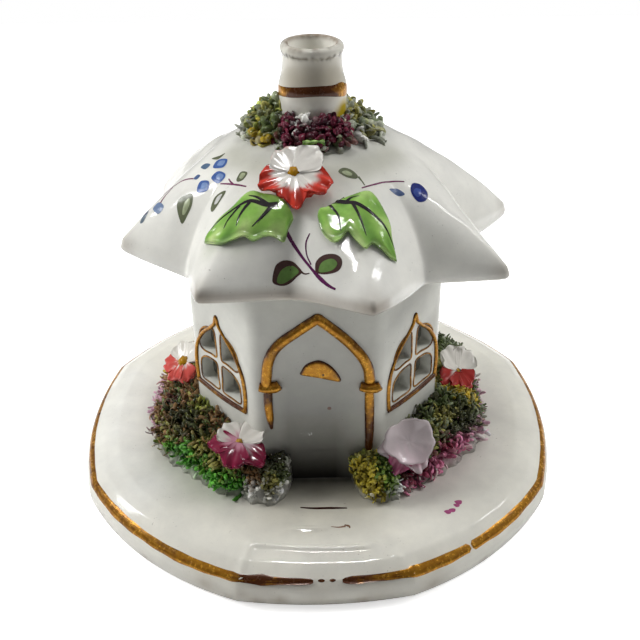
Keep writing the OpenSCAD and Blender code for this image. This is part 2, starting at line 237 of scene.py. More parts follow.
class Shader:
    """The nodes of a material or of the world, with short names for those that the scene needs."""

    def __init__(self, owner, last="Principled BSDF"):
        owner.use_nodes = True
        self.owner, self.tree = owner, owner.node_tree
        self.last = self.tree.nodes[last]
        self.where = self.node("TexCoord").outputs

    def feed(self, socket, value):
        if isinstance(value, bpy.types.NodeSocket):
            self.tree.links.new(value, socket)
        else:
            socket.default_value = value

    def set(self, key, value):
        self.feed(self.last.inputs[key], value)

    def node(self, kind, inputs=(), **settings):
        made = self.tree.nodes.new("ShaderNode" + kind)
        for key, value in settings.items():
            setattr(made, key, value)
        for key, value in dict(inputs).items():
            self.feed(made.inputs[key], value)
        return made

    def noise(self, size, detail=3.0, rough=0.5):
        """Noise whose lumps are about that many millimetres across."""
        inputs = {"Vector": self.where["Object"], "Scale": 1 / (size * MM), "Detail": detail,
                  "Roughness": rough}
        return self.node("TexNoise", inputs).outputs["Fac"]

    def span(self, value, low, high, to_low=0.0, to_high=1.0):
        inputs = {"Value": value, "From Min": low, "From Max": high, "To Min": to_low, "To Max": to_high}
        return self.node("MapRange", inputs).outputs["Result"]

    def patches(self, size, detail, rough, low, high, to_low=0.0, to_high=1.0):
        """Noise, stretched between a low and a high level."""
        return self.span(self.noise(size, detail, rough), low, high, to_low, to_high)

    def mix(self, share, a, b, blend_type="MIX"):
        return self.node("Mix", {0: share, 6: a, 7: b}, data_type="RGBA", blend_type=blend_type).outputs[2]

    def math(self, operation, a, b):
        return self.node("Math", {0: a, 1: b}, operation=operation).outputs[0]

    def attribute(self, name, output="Color"):
        return self.node("Attribute", attribute_name=name).outputs[output]

    def bump(self, height, depth, strength=1.0, under=None):
        inputs = {"Height": height, "Distance": depth * MM, "Strength": strength}
        if under is not None:
            inputs["Normal"] = under
        return self.node("Bump", inputs).outputs["Normal"]


def rgba(colour):
    return (*colour, 1.0)


def glazed(name, mottle=0.12, mottle_size=6.0, specks=0.25, gloss=(0.07, 0.2), grain=0.5, depth=0.02,
           wave=0.25):
    """Painted clay under a glaze: the piece's own paint, mottled and specked, with a wavy gloss."""
    s = Shader(bpy.data.materials.new(name))
    low = s.patches(mottle_size, 4.0, 0.6, 0.3, 0.7)
    mottled = s.mix(low, rgba(np.ones(3) * (1 - mottle)), rgba((1.0, 1.0, 0.99)))
    colour = s.mix(1.0, s.attribute("paint"), mottled, "MULTIPLY")
    dots = s.patches(0.55, 2.0, 0.5, 0.69, 0.75, 0.0, specks)
    dirty = s.patches(9.0, 2.0, 0.5, 0.48, 0.62)
    s.set("Base Color", s.mix(s.math("MULTIPLY", dots, dirty), colour, rgba(tone(92, 84, 66))))
    s.set("Roughness", s.patches(mottle_size * 0.6, 3.0, 0.6, 0.3, 0.7, *gloss))
    waves = s.bump(s.noise(5.0, 1.0, 0.4), wave, 0.35)
    s.set("Normal", s.bump(s.noise(grain, 3.0, 0.6), depth, 0.5, waves))
    s.set("IOR", 1.5)
    return s.owner


def gilded(name):
    """Gilding: bright gold, browned by wear and by painted shade at moulding edges, over the waves of the
    clay.
    """
    s = Shader(bpy.data.materials.new(name))
    # The wear attribute also carries painted shade at the edges of gilt mouldings
    rubbed = s.math("ADD", s.attribute("wear", "Fac"), s.patches(2.2, 4.0, 0.6, 0.3, 0.7, -0.28, 0.28))
    share = s.span(rubbed, 0.3, 0.85)
    fine = s.patches(0.9, 3.0, 0.6, 0.35, 0.65)
    gold = s.mix(fine, rgba(tone(170, 110, 22)), rgba(tone(208, 152, 50)))
    s.set("Base Color", s.mix(share, gold, rgba(tone(78, 40, 14))))
    s.set("Metallic", s.span(share, 0.0, 1.0, 0.6, 0.15))
    s.set("Roughness", s.span(fine, 0.0, 1.0, 0.15, 0.3))
    s.set("Normal", s.bump(s.noise(1.6, 2.0, 0.5), 0.12, 0.6))
    return s.owner


def rough_paste(name):
    """The pastille: dry pressed charcoal paste."""
    s = Shader(bpy.data.materials.new(name))
    dry = s.patches(0.8, 4.0, 0.6, 0.35, 0.65)
    s.set("Base Color", s.mix(dry, rgba(tone(46, 36, 29)), rgba(tone(82, 66, 52))))
    s.set("Roughness", s.patches(1.5, 3.0, 0.5, 0.3, 0.7, 0.75, 0.95))
    s.set("Normal", s.bump(s.noise(0.5, 4.0, 0.7), 0.25, 0.8))
    return s.owner


def plain_glaze(name):
    """White glaze for the solid that keeps its CAD shape."""
    s = Shader(bpy.data.materials.new(name))
    s.set("Base Color", s.mix(s.patches(5.0, 4.0, 0.6, 0.35, 0.65), rgba(tone(214, 213, 207)), rgba(WHITE)))
    s.set("Roughness", s.patches(3.0, 3.0, 0.5, 0.3, 0.7, 0.12, 0.3))
    s.set("Normal", s.bump(s.noise(4.0, 1.0, 0.4), 0.2, 0.4))
    return s.owner


PORCELAIN = glazed("porcelain", specks=0.45, gloss=(0.03, 0.12))
MOSS_CLAY = glazed("moss_clay", 0.35, 1.4, 0.1, (0.12, 0.34), 0.35, 0.08, 0.1)
PETAL_CLAY = glazed("petal_clay", 0.12, 3.0, 0.06, (0.1, 0.22), 0.6, 0.03, 0.15)
LEAF_CLAY = glazed("leaf_clay", 0.3, 2.6, 0.06, (0.05, 0.14), 0.5, 0.03, 0.9)
ENAMEL = glazed("enamel", 0.3, 1.2, 0.0, (0.12, 0.25), 0.4, 0.02, 0.1)
GILDING = gilded("gilding")
PASTE = rough_paste("charcoal_paste")
INNER_GLAZE = plain_glaze("inner_glaze")

# The plate

# Plan angles of the plate's corners, its radius there against the radius in the middle of the front side, and
# how flat each side is that starts at a corner: the front side has the crispest corners
PLATE_CORNERS = np.array([-17.0, 12.5, 62.0, 112.5, 157.5, 202.5, 247.5, 296.0, 343.0])
PLATE_REACH = np.array([55.9, 55.9, 56.2, 56.2, 56.1, 56.1, 56.2, 56.2, 55.9]) / BASE_R
PLATE_FLAT = np.array([0.6, 0.15, 0.35, 0.35, 0.35, 0.35, 0.35, 0.15])
# How far the front side's right corner turns outwards on the bevel, in degrees, and the share of that side's
# flatness that is left below the plate's edge
RIGHT_CORNER_RUN, LOW_FRONT_FLAT = 7.3, 0.7


def plate_corners(r):
    """Plan angles of the plate's corners at a radius: the front's right corner turns on the bevel."""
    corners = PLATE_CORNERS.copy()
    corners[1] += RIGHT_CORNER_RUN * min(1.0, max(0.0, (r - CREASE_R) / (BASE_R - CREASE_R)))
    return corners


def plate_radius(r, a):
    """Radius of the plate at a plan angle, from that in the middle of the front side."""
    first = PLATE_CORNERS[0]
    a = (np.asarray(a, float) - first) % 360 + first
    corners = plate_corners(float(np.mean(r)))
    k = np.clip(np.searchsorted(corners, a, side="right") - 1, 0, len(PLATE_FLAT) - 1)
    middle = (corners[k] + corners[k + 1]) / 2
    half = (corners[k + 1] - corners[k]) / 2
    reach = np.interp(a, corners, PLATE_REACH)
    chord = np.cos(np.radians(half)) / np.cos(np.radians(a - middle))
    low_front = (k == 0) & (np.mean(r) > BASE_R + RIM_OUT / 3)
    flat = PLATE_FLAT[k] * np.where(low_front, LOW_FRONT_FLAT, 1.0)
    return r * reach * (1 - flat * (1 - chord))


def round_corners(points, reach, steps=4):
    """A line of points with its corners rounded off over a reach on either side."""
    points = np.asarray(points, float)
    out = [points[0]]
    for before, corner, after in zip(points, points[1:], points[2:]):
        one, two = before - corner, after - corner
        start = corner + one * min(0.45, reach / np.linalg.norm(one))
        end = corner + two * min(0.45, reach / np.linalg.norm(two))
        for t in np.linspace(0, 1, steps):
            out.append((1 - t) ** 2 * start + 2 * t * (1 - t) * corner + t ** 2 * end)
    return np.array(out + [points[-1]])


BEVEL_R, BEVEL_Z = 51.6, 8.2
PLATE_TOP = round_corners([(30, BASE_H), (CREASE_R, BASE_H), (BEVEL_R, BEVEL_Z), (BASE_R, EDGE_Z),
                           (BASE_R + RIM_OUT, 4.2), (BASE_R + RIM_OUT, 2.4), (BASE_R + FOOT_OUT, 0.15),
                           (BASE_R - 0.3, 0.0), (BASE_R + FOOT_OUT - FOOT_W, 0.0)], 0.55)

# Rolls of the hand-pressed plate before the door: height and half width of the bead along the front side's
# crease, and height, half width, half length and middle of the short roll before the door step
BEAD_H, BEAD_W = 0.42, 0.65
ROLL_H, ROLL_W, ROLL_L, ROLL_AT = 0.5, 0.85, 3.6, (-2.4, -42.7)
# Height and half width of the soft ridges at the two ends of the front side
FRONT_RIDGE_H, FRONT_RIDGE_W = 0.3, 0.9
# How far gilding stands off the plate, inside its outline and at it
GILT_LIFT, GILT_EDGE_LIFT = 0.05, 0.01


def front_rolls(x, y, r, a):
    """Rise of the two rolls that catch the light before the door."""
    along = np.clip((a - PLATE_CORNERS[0]) / 2, 0, 1) * np.clip((PLATE_CORNERS[1] - a) / 2, 0, 1)
    bead = BEAD_H * along * np.exp(-((r - plate_radius(CREASE_R, a)) / BEAD_W) ** 2)
    return bead + ROLL_H * np.exp(-((x - ROLL_AT[0]) / ROLL_L) ** 4 - ((y - ROLL_AT[1]) / ROLL_W) ** 2)


def plate_waver(x, y):
    """Unevenness of the plate's top, its front rolls and the two soft ridges that bound its front side."""
    r, a = np.hypot(x, y), np.degrees(np.arctan2(x, -y))
    out = np.clip((r - CREASE_R) / (BASE_R - CREASE_R), 0, 1)
    rise = front_rolls(x, y, r, a)
    for corner, run in ((PLATE_CORNERS[0] + 0.5, 0.0), (PLATE_CORNERS[1] + 0.3, RIGHT_CORNER_RUN)):
        off = np.radians(a - corner - run * out) * r
        ridge_rise = FRONT_RIDGE_H * np.exp(-(off / FRONT_RIDGE_W) ** 2)
        rise = rise + ridge_rise * np.clip((r - CREASE_R + 1.5) / 2, 0, 1)
    return (rise + 0.10 * np.sin(x * 0.21 + 1) * np.sin(y * 0.17)
            + 0.035 * np.sin(x * 0.6 + y * 0.3) * np.sin(y * 0.55))


def stain(points, spots, base=WHITE):
    """Paint of white clay with soft spots on it: (place, reach, colour, strength)."""
    paint = np.tile(base, (len(points), 1))
    for spot, reach, colour, strength in spots:
        gap = np.linalg.norm(points - np.asarray(spot, float), axis=1)
        paint = blend(paint, colour, strength * np.exp(-(gap / reach) ** 2)[:, None])
    return paint


def spots_round(r, turns, z, reach, colour, strength):
    """Soft spots at one radius and height and several plan angles, for stain()."""
    return [(polar(r, t, z), reach, colour, strength) for t in turns]


def make_plate():
    """The plate with its foot and recess, stained where handled and under the moss, with painted shade and
    light.
    """
    # Plan angles: even steps, and finer ones at the front side's two corners
    a = np.unique(np.concatenate([np.arange(-16.9, 343, 1.25), np.arange(10.6, 22, 0.3),
                                  np.arange(-19, -14, 0.3), PLATE_CORNERS[:-1] - 0.35,
                                  PLATE_CORNERS[:-1] + 0.35]))
    a = np.unique(a % 360)
    a = a[np.diff(a, prepend=-1) > 0.05]
    steps = len(a)
    fine = np.concatenate([[30, 35, 39], np.arange(41.4, 43.9, 0.2), [45], np.arange(46.8, 49.3, 0.2)])
    rows = [(r, BASE_H) for r in (4, 12, 20, 24, 26, 28)]
    rows += [(r, float(np.interp(r, PLATE_TOP[:6, 0], PLATE_TOP[:6, 1]))) for r in fine]
    rows += [tuple(p) for p in PLATE_TOP if p[0] > fine[-1] + 0.1]
    rows += [(BASE_R + 0.1 - FOOT_W, 0.3), (BASE_R - 1.0 - FOOT_W, RECESS_Z)]
    rows += [(r, RECESS_Z) for r in (40, 20, 4)]
    points = np.concatenate([polar(plate_radius(r, a), a, z) for r, z in rows])
    top = np.repeat([z > EDGE_Z for r, z in rows], steps)
    points[:, 2] += np.where(top, plate_waver(points[:, 0], points[:, 1]), 0)
    faces = grid_faces(len(rows), steps, wrap_columns=True)
    middle = len(points)
    points = np.vstack([points, [[0, 0, BASE_H]], [[0, 0, RECESS_Z]]])
    last = (len(rows) - 1) * steps
    faces += turned(fan(0, steps, middle))
    faces += [(middle + 1, last + j, last + (j + 1) % steps) for j in range(steps)]
    brown, dark = tone(120, 92, 62), tone(30, 27, 24)
    # Partly stain, partly painted shade: grey-green and grey-pink at the foot of the hedges
    spots = spots_round(38, (-100, -85, -70, -55, -42), 9, 6, tone(150, 156, 134), 0.35)
    spots += spots_round(40, (38, 52, 68, 84, 100), 9, 6, tone(168, 160, 160), 0.3)
    # Painted shadow: a dark band on the floor along the door's foot
    spots += [((x, -27.6, 9), 3.0, dark, 0.85) for x in (-9, -6, -3, 0, 3, 6, 9)]
    spots += [(polar(55.7, t, z), 1.5, brown, 0.45)
              for t, z in ((-58, 2), (-41, 1), (-24, 3), (-19, 1), (-16, 3), (-13, 1), (-8, 2), (9, 1),
                           (24, 2), (38, 1), (61, 2))]
    # Partly dirt, partly painted shade: the rim's front is painted darker and browner
    spots += spots_round(55.7, (-24, -12, 0, 12, 24), 3, 5, tone(172, 160, 142), 0.3)
    # Partly dirt, partly painted shade: the floor before the door is painted darker and warmer
    spots += [((x, -37, 9), 8, tone(166, 160, 142), 0.4) for x in (-9, 0, 9)]
    # Painted light: the floor on the left is painted whiter than the glaze
    spots += spots_round(48, (-105, -92, -79, -66, -53), 9, 7, tone(248, 248, 243), 0.7)
    clay = Clay()
    clay.add(points, turned(faces), stain(points, spots))
    return clay.make("plate", PORCELAIN, "house", "white_glaze", ["base_plate"])


def gilt_strip(clay, a, low, high, wear):
    """A painted band round the plate, between two distances from its edge along the plate's profile."""
    run = np.concatenate([[0], np.cumsum(np.linalg.norm(np.diff(PLATE_TOP, axis=0), axis=1))])
    edge = run[np.argmin(np.hypot(PLATE_TOP[:, 0] - BASE_R, PLATE_TOP[:, 1] - EDGE_Z))]
    rows, rub = [], []
    lines = 9
    for k in range(lines):
        at = edge + low + (high - low) * k / (lines - 1)
        r, z = np.interp(at, run, PLATE_TOP[:, 0]), np.interp(at, run, PLATE_TOP[:, 1])
        lift = (GILT_LIFT if 0 < k < lines - 1 else GILT_EDGE_LIFT) * 0.7
        p = polar(plate_radius(r + lift, a), a, z + lift)
        p[:, 2] += plate_waver(p[:, 0], p[:, 1]) * (z > EDGE_Z)
        rows.append(p)
        rub.append(wear + 0.45 * clouds([(t * 0.12, k * 0.9, 5.0) for t in a]))
    clay.add(np.concatenate(rows), turned(grid_faces(lines, len(a))), WHITE, np.concatenate(rub))


def make_plate_gilding():
    """The band round the plate, broken where it is rubbed away."""
    clay = Clay()
    runs = ((-0.2, 1.2), (2.2, 3.5), (4.9, 34.3), (34.7, 358.8))
    for start, end in runs:
        a = np.linspace(start, end, max(8, int((end - start) / 0.6)))
        ends = np.minimum(1, np.minimum(a - start, end - a) / 0.8 + 0.45)
        turn = (a + 180) % 360 - 180
        thin = np.interp(turn, [-30, -18, -16.5, -12, -10, -4, 0, 5, 7, 10, 15, 20],
                         [1, 0.95, 0.6, 0.95, 0.65, 0.5, 0.3, 0.35, 0.6, 0.6, 0.7, 1])
        wave = 0.07 * np.sin(a * 0.31) + 0.05 * np.sin(a * 0.9 + 1)
        half = (1.08 + wave) * thin * ends
        middle = wave * 0.4 + 0.25 * (1 - thin)
        wear = np.interp(turn, [-90, -60, -45, -30, -20, -17, -14, 0, 10, 16, 20, 26, 40, 60, 90],
                         [0.5, 0.5, 0.4, 0.5, 0.2, 0.6, 0.95, 1.0, 0.9, 0.6, 0.05, 0.4, 0.25, 0.4, 0.5])
        gilt_strip(clay, a, middle - half, middle + half, wear)
    clay.make("plate_gilding", GILDING, "house", "gilding")


class Surface:
    """The outside of a finished piece, met along a fixed direction from points given on a level plane."""

    # How far before the plane the rays start
    AHEAD = 60

    def __init__(self, obj, level=100.0, direction=(0, 0, -1)):
        corners = [v.co / MM for v in obj.data.vertices]
        self.tree = BVHTree.FromPolygons(corners, [p.vertices[:] for p in obj.data.polygons])
        self.level, self.direction = level, Vector(direction).normalized()

    def meet(self, plan):
        """Points on the surface and its outward directions there."""
        spots, outward = [], []
        for x, y in plan:
            start = Vector((x, y, self.level)) - self.direction * self.AHEAD
            spot, normal, _, _ = self.tree.ray_cast(start, self.direction)
            if spot is None:
                spot, normal, _, _ = self.tree.find_nearest(Vector((x, y, self.level)))
            if normal.dot(self.direction) > 0:
                normal = -normal
            spots.append(spot)
            outward.append(normal)
        return np.array(spots, float), np.array(outward, float)


# How far enamel stands off what it is painted on
ENAMEL_LIFT = 0.06


def enamel_stroke(clay, path, widths, surface, paint, lift=ENAMEL_LIFT):
    """A brush stroke that lies on a surface along a path in plan."""
    path = resample(smooth_path(path), 28)
    width = stretch(len(path), widths)
    spine, normal = surface.meet(path)
    along = np.gradient(spine, axis=0)
    side = unit(np.cross(along, normal))
    rows = [spine + side * (width * k / 2)[:, None] + normal * lift * (1 - 0.6 * abs(k))
            for k in (-1, -0.5, 0, 0.5, 1)]
    clay.add(np.concatenate(rows), grid_faces(5, len(path)), paint)


def enamel_blot(clay, outline, surface, paint, lift=ENAMEL_LIFT):
    """A painted patch that lies on a surface, from its outline in plan."""
    ring = smooth_path(outline, 6, closed=True)
    ring = resample(np.vstack([ring, ring[:1]]), 41)[:-1]
    middle = ring.mean(axis=0)
    shares = (1.0, 0.8, 0.55, 0.28)
    rows = []
    for share in shares:
        spots, normals = surface.meet(middle + (ring - middle) * share)
        rows.append(spots + normals * lift * (1.25 - 0.75 * share))
    spots, normals = surface.meet([middle])
    rows.append(spots + normals * lift * 1.25)
    faces = dome_faces(len(shares), len(ring))
    area = np.sum(ring[:, 0] * np.roll(ring[:, 1], -1) - np.roll(ring[:, 0], -1) * ring[:, 1])
    clay.add(np.concatenate(rows), faces if area > 0 else turned(faces), paint)


def make_floor_paint(plate):
    """The door step's brown line, the short brush marks before it and a few pink dabs on the floor."""
    pink = tone(176, 84, 132)
    clay, floor = Clay(), Surface(plate)
    strokes = [
        ([(-3.8, -36.3), (-1, -36.6), (2.5, -36.6), (6.1, -36.7)], [0.35, 0.6, 0.65, 0.35], tone(52, 18, 12)),
        ([(2.6, -42.1), (4.2, -42.3), (5.6, -42.0)], [0.15, 0.35, 0.5], tone(140, 110, 92)),
        ([(5.4, -41.6), (6.3, -42.0), (6.5, -42.6)], [0.3, 0.6, 0.2], tone(128, 98, 80))]
    for path, widths, colour in strokes:
        enamel_stroke(clay, path, widths, floor, colour)
    for x, y, size in ((27.3, -38.3, 0.8), (28.3, -37.8, 0.75), (29.4, -36.3, 0.7), (29.9, -35.4, 0.85)):
        ring = [(x + size * math.cos(t) * (1.2 if k % 2 else 0.8), y + 0.8 * size * math.sin(t))
                for k, t in enumerate(np.linspace(0, 2 * math.pi, 7, endpoint=False))]
        enamel_blot(clay, ring, floor, pink)
    clay.make("floor_paint", ENAMEL, "house", "magenta_petal")


# The house


def house_plan(inset, fillet, steps=7):
    """The house's plan with rounded corners, drawn in by an inset."""
    h = WALL_HALF - inset
    f = FRONT_HALF - inset * math.tan(math.radians(CUT_ANGLE / 2))
    s = SIDE_HALF - inset * math.tan(math.radians(45 - CUT_ANGLE / 2))
    corners = np.array([(f, -h), (h, -s), (h, s), (f, h), (-f, h), (-h, s), (-h, -s), (-f, -h)])
    out = []
    for before, corner, after in zip(np.roll(corners, 1, 0), corners, np.roll(corners, -1, 0)):
        u = (before - corner) / np.linalg.norm(before - corner)
        v = (after - corner) / np.linalg.norm(after - corner)
        half = math.acos(float(np.clip(u @ v, -1, 1))) / 2
        start, end = corner + u * fillet / math.tan(half), corner + v * fillet / math.tan(half)
        for t in np.linspace(0, 1, steps):
            out.append((1 - t) ** 2 * start + 2 * t * (1 - t) * corner + t ** 2 * end)
        for t in (0.25, 0.5, 0.75):
            out.append(end + (after - v * fillet - end) * t)
    return np.array(out)


# Outlines of a window's lights right of its mullion, as distance across and height
LOWER_LIGHT = [(0.95, 26.9), (4.0, 26.7), (6.7, 27.0), (7.0, 29.6), (6.6, 31.6), (5.0, 32.9), (3.0, 33.3),
               (1.1, 33.0), (0.9, 30.0)]
UPPER_LIGHT = [(1.1, 35.2), (3.0, 35.0), (5.4, 34.7), (6.7, 35.4), (6.9, 37.2), (6.2, 39.1), (4.7, 40.6),
               (2.6, 41.4), (1.3, 41.1), (1.0, 38.0)]
WINDOW_ANGLES = (-CUT_ANGLE, CUT_ANGLE, 180 - CUT_ANGLE, 180 + CUT_ANGLE)
# Fillets of the wall's corners outside and inside, how deep its foot stands in the plate, how far the knife
# that cuts the lights reaches beyond the wall, and the bevel it leaves
WALL_FILLET, INNER_FILLET, FOOT_SINK, KNIFE_OVER, LIGHT_BEVEL = 4.2, 2.4, 0.02, 1.5, 0.3


def face_axes(angle, reach):
    """Foot of a wall face that turns to a plan angle, its directions across and up, and that outwards."""
    a = math.radians(angle)
    out = np.array([math.sin(a), -math.cos(a), 0.0])
    across = np.array([math.cos(a), math.sin(a), 0.0])
    return out * reach, across, np.array([0.0, 0.0, 1.0]), out


def light_outlines():
    """Outlines of a window's four lights."""
    for light in (LOWER_LIGHT, UPPER_LIGHT):
        outline = smooth_path(light, 4, closed=True)
        yield outline
        yield (outline * [-1, 1])[::-1]


def make_walls():
    """The wall, pierced with its windows, in a greyer white and with a darker door, both painted shade."""
    outer, inner = house_plan(0, WALL_FILLET), house_plan(WALL_T, INNER_FILLET)
    foot = BASE_H - FOOT_SINK
    n = len(outer)
    heights = [foot, 9.8, 11, 13, 15.5, 18.5, 22, 26, 31, 37, 44, WALL_TOP]
    levels = [(outer, z) for z in heights] + [(inner, z) for z in (WALL_TOP, 30.0, foot)]
    points = np.concatenate([np.column_stack([plan, np.full(n, z)]) for plan, z in levels])
    faces = grid_faces(len(levels), n, wrap_rows=True, wrap_columns=True)
    wall = new_mesh("house_wall", points, faces)
    body = link(bpy.data.objects.new("house_wall", wall))
    cutter = Clay()
    for angle in WINDOW_ANGLES:
        origin, across, up, out = face_axes(angle, CUT_FACE)
        for outline in light_outlines():
            m = len(outline)
            flat = outline[:, :1] * across + outline[:, 1:] * up + origin
            both = np.vstack([flat + out * KNIFE_OVER, flat - out * (WALL_T + KNIFE_OVER)])
            sides = [(j, (j + 1) % m, m + (j + 1) % m, m + j) for j in range(m)]
            cutter.add(both, [tuple(range(m))[::-1], tuple(range(m, 2 * m))] + sides)
    knife = new_mesh("knife", np.vstack(cutter.points), cutter.faces)
    for mesh in (wall, knife):
        facing_out = bmesh.new()
        facing_out.from_mesh(mesh)
        bmesh.ops.recalc_face_normals(facing_out, faces=facing_out.faces)
        facing_out.to_mesh(mesh)
        facing_out.free()
    blade = link(bpy.data.objects.new("knife", knife))
    pierce = body.modifiers.new("pierce", "BOOLEAN")
    pierce.object, pierce.operation, pierce.solver = blade, "DIFFERENCE", "EXACT"
    soften = body.modifiers.new("soften", "BEVEL")
    soften.width, soften.segments, soften.limit_method = LIGHT_BEVEL * MM, 2, "ANGLE"
    soften.angle_limit = math.radians(50)
    finished = bpy.data.meshes.new_from_object(body.evaluated_get(bpy.context.evaluated_depsgraph_get()))
    body.modifiers.clear()
    body.data = finished
    bpy.data.objects.remove(blade)
    co = np.zeros(len(finished.vertices) * 3)
    finished.vertices.foreach_get("co", co)
    co = co.reshape(-1, 3) / MM
    # Painted shade: the door is painted darker from its foot upwards
    near = np.clip((-co[:, 1] - WALL_HALF + 1.2) / 1.0, 0, 1)
    on_door = near * np.clip((FRONT_HALF - np.abs(co[:, 0])) / 3.5, 0, 1)
    painted_door_shade = np.interp(co[:, 2], [9, 11, 14, 19, 26, 36, 46], [0.98, 0.95, 0.88, 0.75, 0.58, 0.34, 0.1])
    painted_door_shade = painted_door_shade * on_door
    set_paint(finished, blend(WALL_SHADED_WHITE, tone(24, 20, 14), painted_door_shade[:, None]))
    finished.shade_smooth()
    finished.set_sharp_from_angle(angle=math.radians(38))
    place(body, PORCELAIN, "house", "white_glaze", ["wall_shell"])


def ridge(clay, face, path, widths, height, wear=(0.0,), closed=False, per=8):
    """A half-round moulding on a wall face, along a path of distances across and heights."""
    origin, across, up, out = face
    path = smooth_path(path, per, closed)
    n = len(path)
    width, rub = stretch(n, widths), stretch(n, wear)
    if closed:
        along = np.roll(path, -1, 0) - np.roll(path, 1, 0)
    else:
        along = np.gradient(path, axis=0)
    along = unit(along)
    side = np.column_stack([-along[:, 1], along[:, 0]])
    rows, rub_and_edge_shade = [], []
    for turn in np.linspace(0, 180, 9):
        t = math.radians(turn)
        flat = path + side * (width * math.cos(t) / 2)[:, None]
        rise = height * math.sin(t) * np.minimum(1, width / max(widths) + 0.15) - 0.06
        rows.append(origin + flat[:, :1] * across + flat[:, 1:] * up + rise[:, None] * out)
        # The gilding turns brown towards both edges, where the moulding meets the wall: painted shade in that
        # crease, added to its wear
        rub_and_edge_shade.append(rub + 0.6 * abs(math.cos(t)) ** 4)
    m = len(rows)
    faces = grid_faces(m, n, wrap_rows=True, wrap_columns=closed)
    if not closed:
        faces += end_faces(m, n)
    clay.add(np.concatenate(rows), turned(faces), WHITE, np.concatenate(rub_and_edge_shade))


ARCH = [(-10.4, 34.2), (-10.2, 36.6), (-9.8, 39.6), (-8.8, 42.3), (-6.9, 44.7), (-3.5, 47.4), (-0.4, 49.7),
        (0.4, 50.2), (1.2, 49.6), (4.3, 46.9), (7.2, 43.9), (9.5, 40.7), (10.6, 38.0), (11.0, 35.0)]
# The arch, its two corbels and the two jambs below them: path, widths, height and wear
DOOR_MOULDINGS = (
    (ARCH, [2.3], 1.2, [0.1, 0.15, 0.55, 0.3, 0.25, 0.15, 0.3, 0.1, 0.2]),
    ([(-11.9, 34.0), (-10.2, 33.7), (-8.6, 33.9), (-7.6, 34.4)], [1.9, 2.3, 2.6, 2.1], 1.6, [0.3, 0.1]),
    ([(9.0, 33.9), (10.6, 33.5), (12.2, 33.5), (13.2, 34.0)], [1.9, 2.4, 2.4, 1.9], 1.6, [0.1, 0.2]),
    ([(-10.1, 33.4), (-10.1, 29.0), (-9.9, 25.5), (-9.7, 23.0)], [1.9, 1.9, 1.6, 0.7], 0.9,
     [0.8, 0.7, 0.1, 0.2, 0.9, 1.0]),
    ([(10.9, 33.2), (11.0, 28.5), (11.1, 22.0), (11.0, 16.2)], [1.9, 2.1, 2.0, 1.6], 0.9,
     [0.3, 0.2, 0.5, 0.9, 1.0]))
WINDOW_FRAME = [(-8.5, 25.6), (-8.8, 30.4), (-8.0, 35.0), (-5.6, 38.9), (-2.6, 41.6), (-0.8, 43.4),
                (0.0, 45.4), (0.8, 43.4), (2.6, 41.6), (5.6, 38.9), (8.0, 35.0), (8.8, 30.4), (8.5, 25.6)]


def make_door():
    """The door's gilt moulding, its fanlight and two dots of paint."""
    face = face_axes(0, WALL_HALF)
    clay = Clay()
    for moulding in DOOR_MOULDINGS:
        ridge(clay, face, *moulding)
    clay.make("door_moulding", GILDING, "house", "gilding", ["door_arch"])
    clay = Clay()
    outline = np.array([(-3.3, 36.9), (-3.2, 37.5), (-2.3, 39.1), (-0.6, 40.1), (1.0, 40.2), (3.0, 38.9),
                        (4.5, 36.9), (5.1, 35.3), (4.4, 35.0), (1.0, 35.9), (-2.0, 36.5)])
    ring = smooth_path(outline, 4, closed=True)
    middle = ring.mean(axis=0)
    origin, across, up, out = face
    rows, rub = [], []
    # The outer rings, where the fanlight meets the wall, are brown: painted shade in that crease, added to
    # wear
    for share, rise, worn_and_edge_shade in ((1.0, -0.05, 1.0), (0.97, 0.28, 1.0), (0.86, 0.45, 0.35), (0.5, 0.5, 0.15)):
        flat = middle + (ring - middle) * share
        rows.append(origin + flat[:, :1] * across + flat[:, 1:] * up + out * rise)
        rub.append(np.full(len(ring), worn_and_edge_shade))
    rows.append((origin + middle[0] * across + middle[1] * up + out * 0.52)[None])
    rub.append(np.array([0.15]))
    clay.add(np.concatenate(rows), dome_faces(4, len(ring)), WHITE, np.concatenate(rub))
    clay.make("fanlight_gilding", GILDING, "house", "gilding", ["fanlight"])
    clay = Clay()
    for x, z, size, colour in ((1.4, 37.0, 0.42, tone(60, 28, 16)), (2.6, 28.1, 0.7, tone(128, 100, 90))):
        t = np.radians(np.arange(0, 360, 24))
        lift = 0.56 if z > 35 else 0.04
        ring = origin + np.outer(x + size * np.cos(t), across) + np.outer(z + size * np.sin(t), up)
        ring = ring + out * (lift - 0.1)
        tip = origin + x * across + z * up + out * (lift + 0.05)
        clay.add(np.vstack([ring, tip]), fan(0, len(t), len(t)), colour)
    clay.make("door_dots", ENAMEL, "house", "gilding")


def make_window_gilding():
    """Each window's raised frame, its sill and the thin lines round its lights."""
    for name, angle in zip(("left", "right", "back_right", "back_left"), WINDOW_ANGLES):
        face = face_axes(angle, CUT_FACE)
        clay = Clay()
        frame_wear = [0.35, 0.1, 0.5, 0.3, 0.15, 0.45, 0.1, 0.5, 0.2, 0.1, 0.3]
        if angle < 0:
            frame_wear = frame_wear[::-1]
        ridge(clay, face, WINDOW_FRAME, [1.15, 1.0, 0.9, 1.0, 0.8, 1.1, 1.25], 0.55, frame_wear)
        ridge(clay, face, [(-8.8, 25.5), (-4, 25.1), (0, 25.0), (4, 25.2), (8.8, 25.7)],
              [1.1, 1.3, 1.3, 1.3, 1.1], 0.7, [0.7, 0.9, 0.5, 0.8, 0.95, 0.6])
        for outline in light_outlines():
            middle = outline.mean(axis=0)
            ridge(clay, face, middle + (outline - middle) * 1.07, [0.5], 0.22, [0.3, 0.7, 0.4, 0.75, 0.3],
                  closed=True, per=2)
        clay.make("window_gilding_" + name, GILDING, "house", "gilding")


# The roof

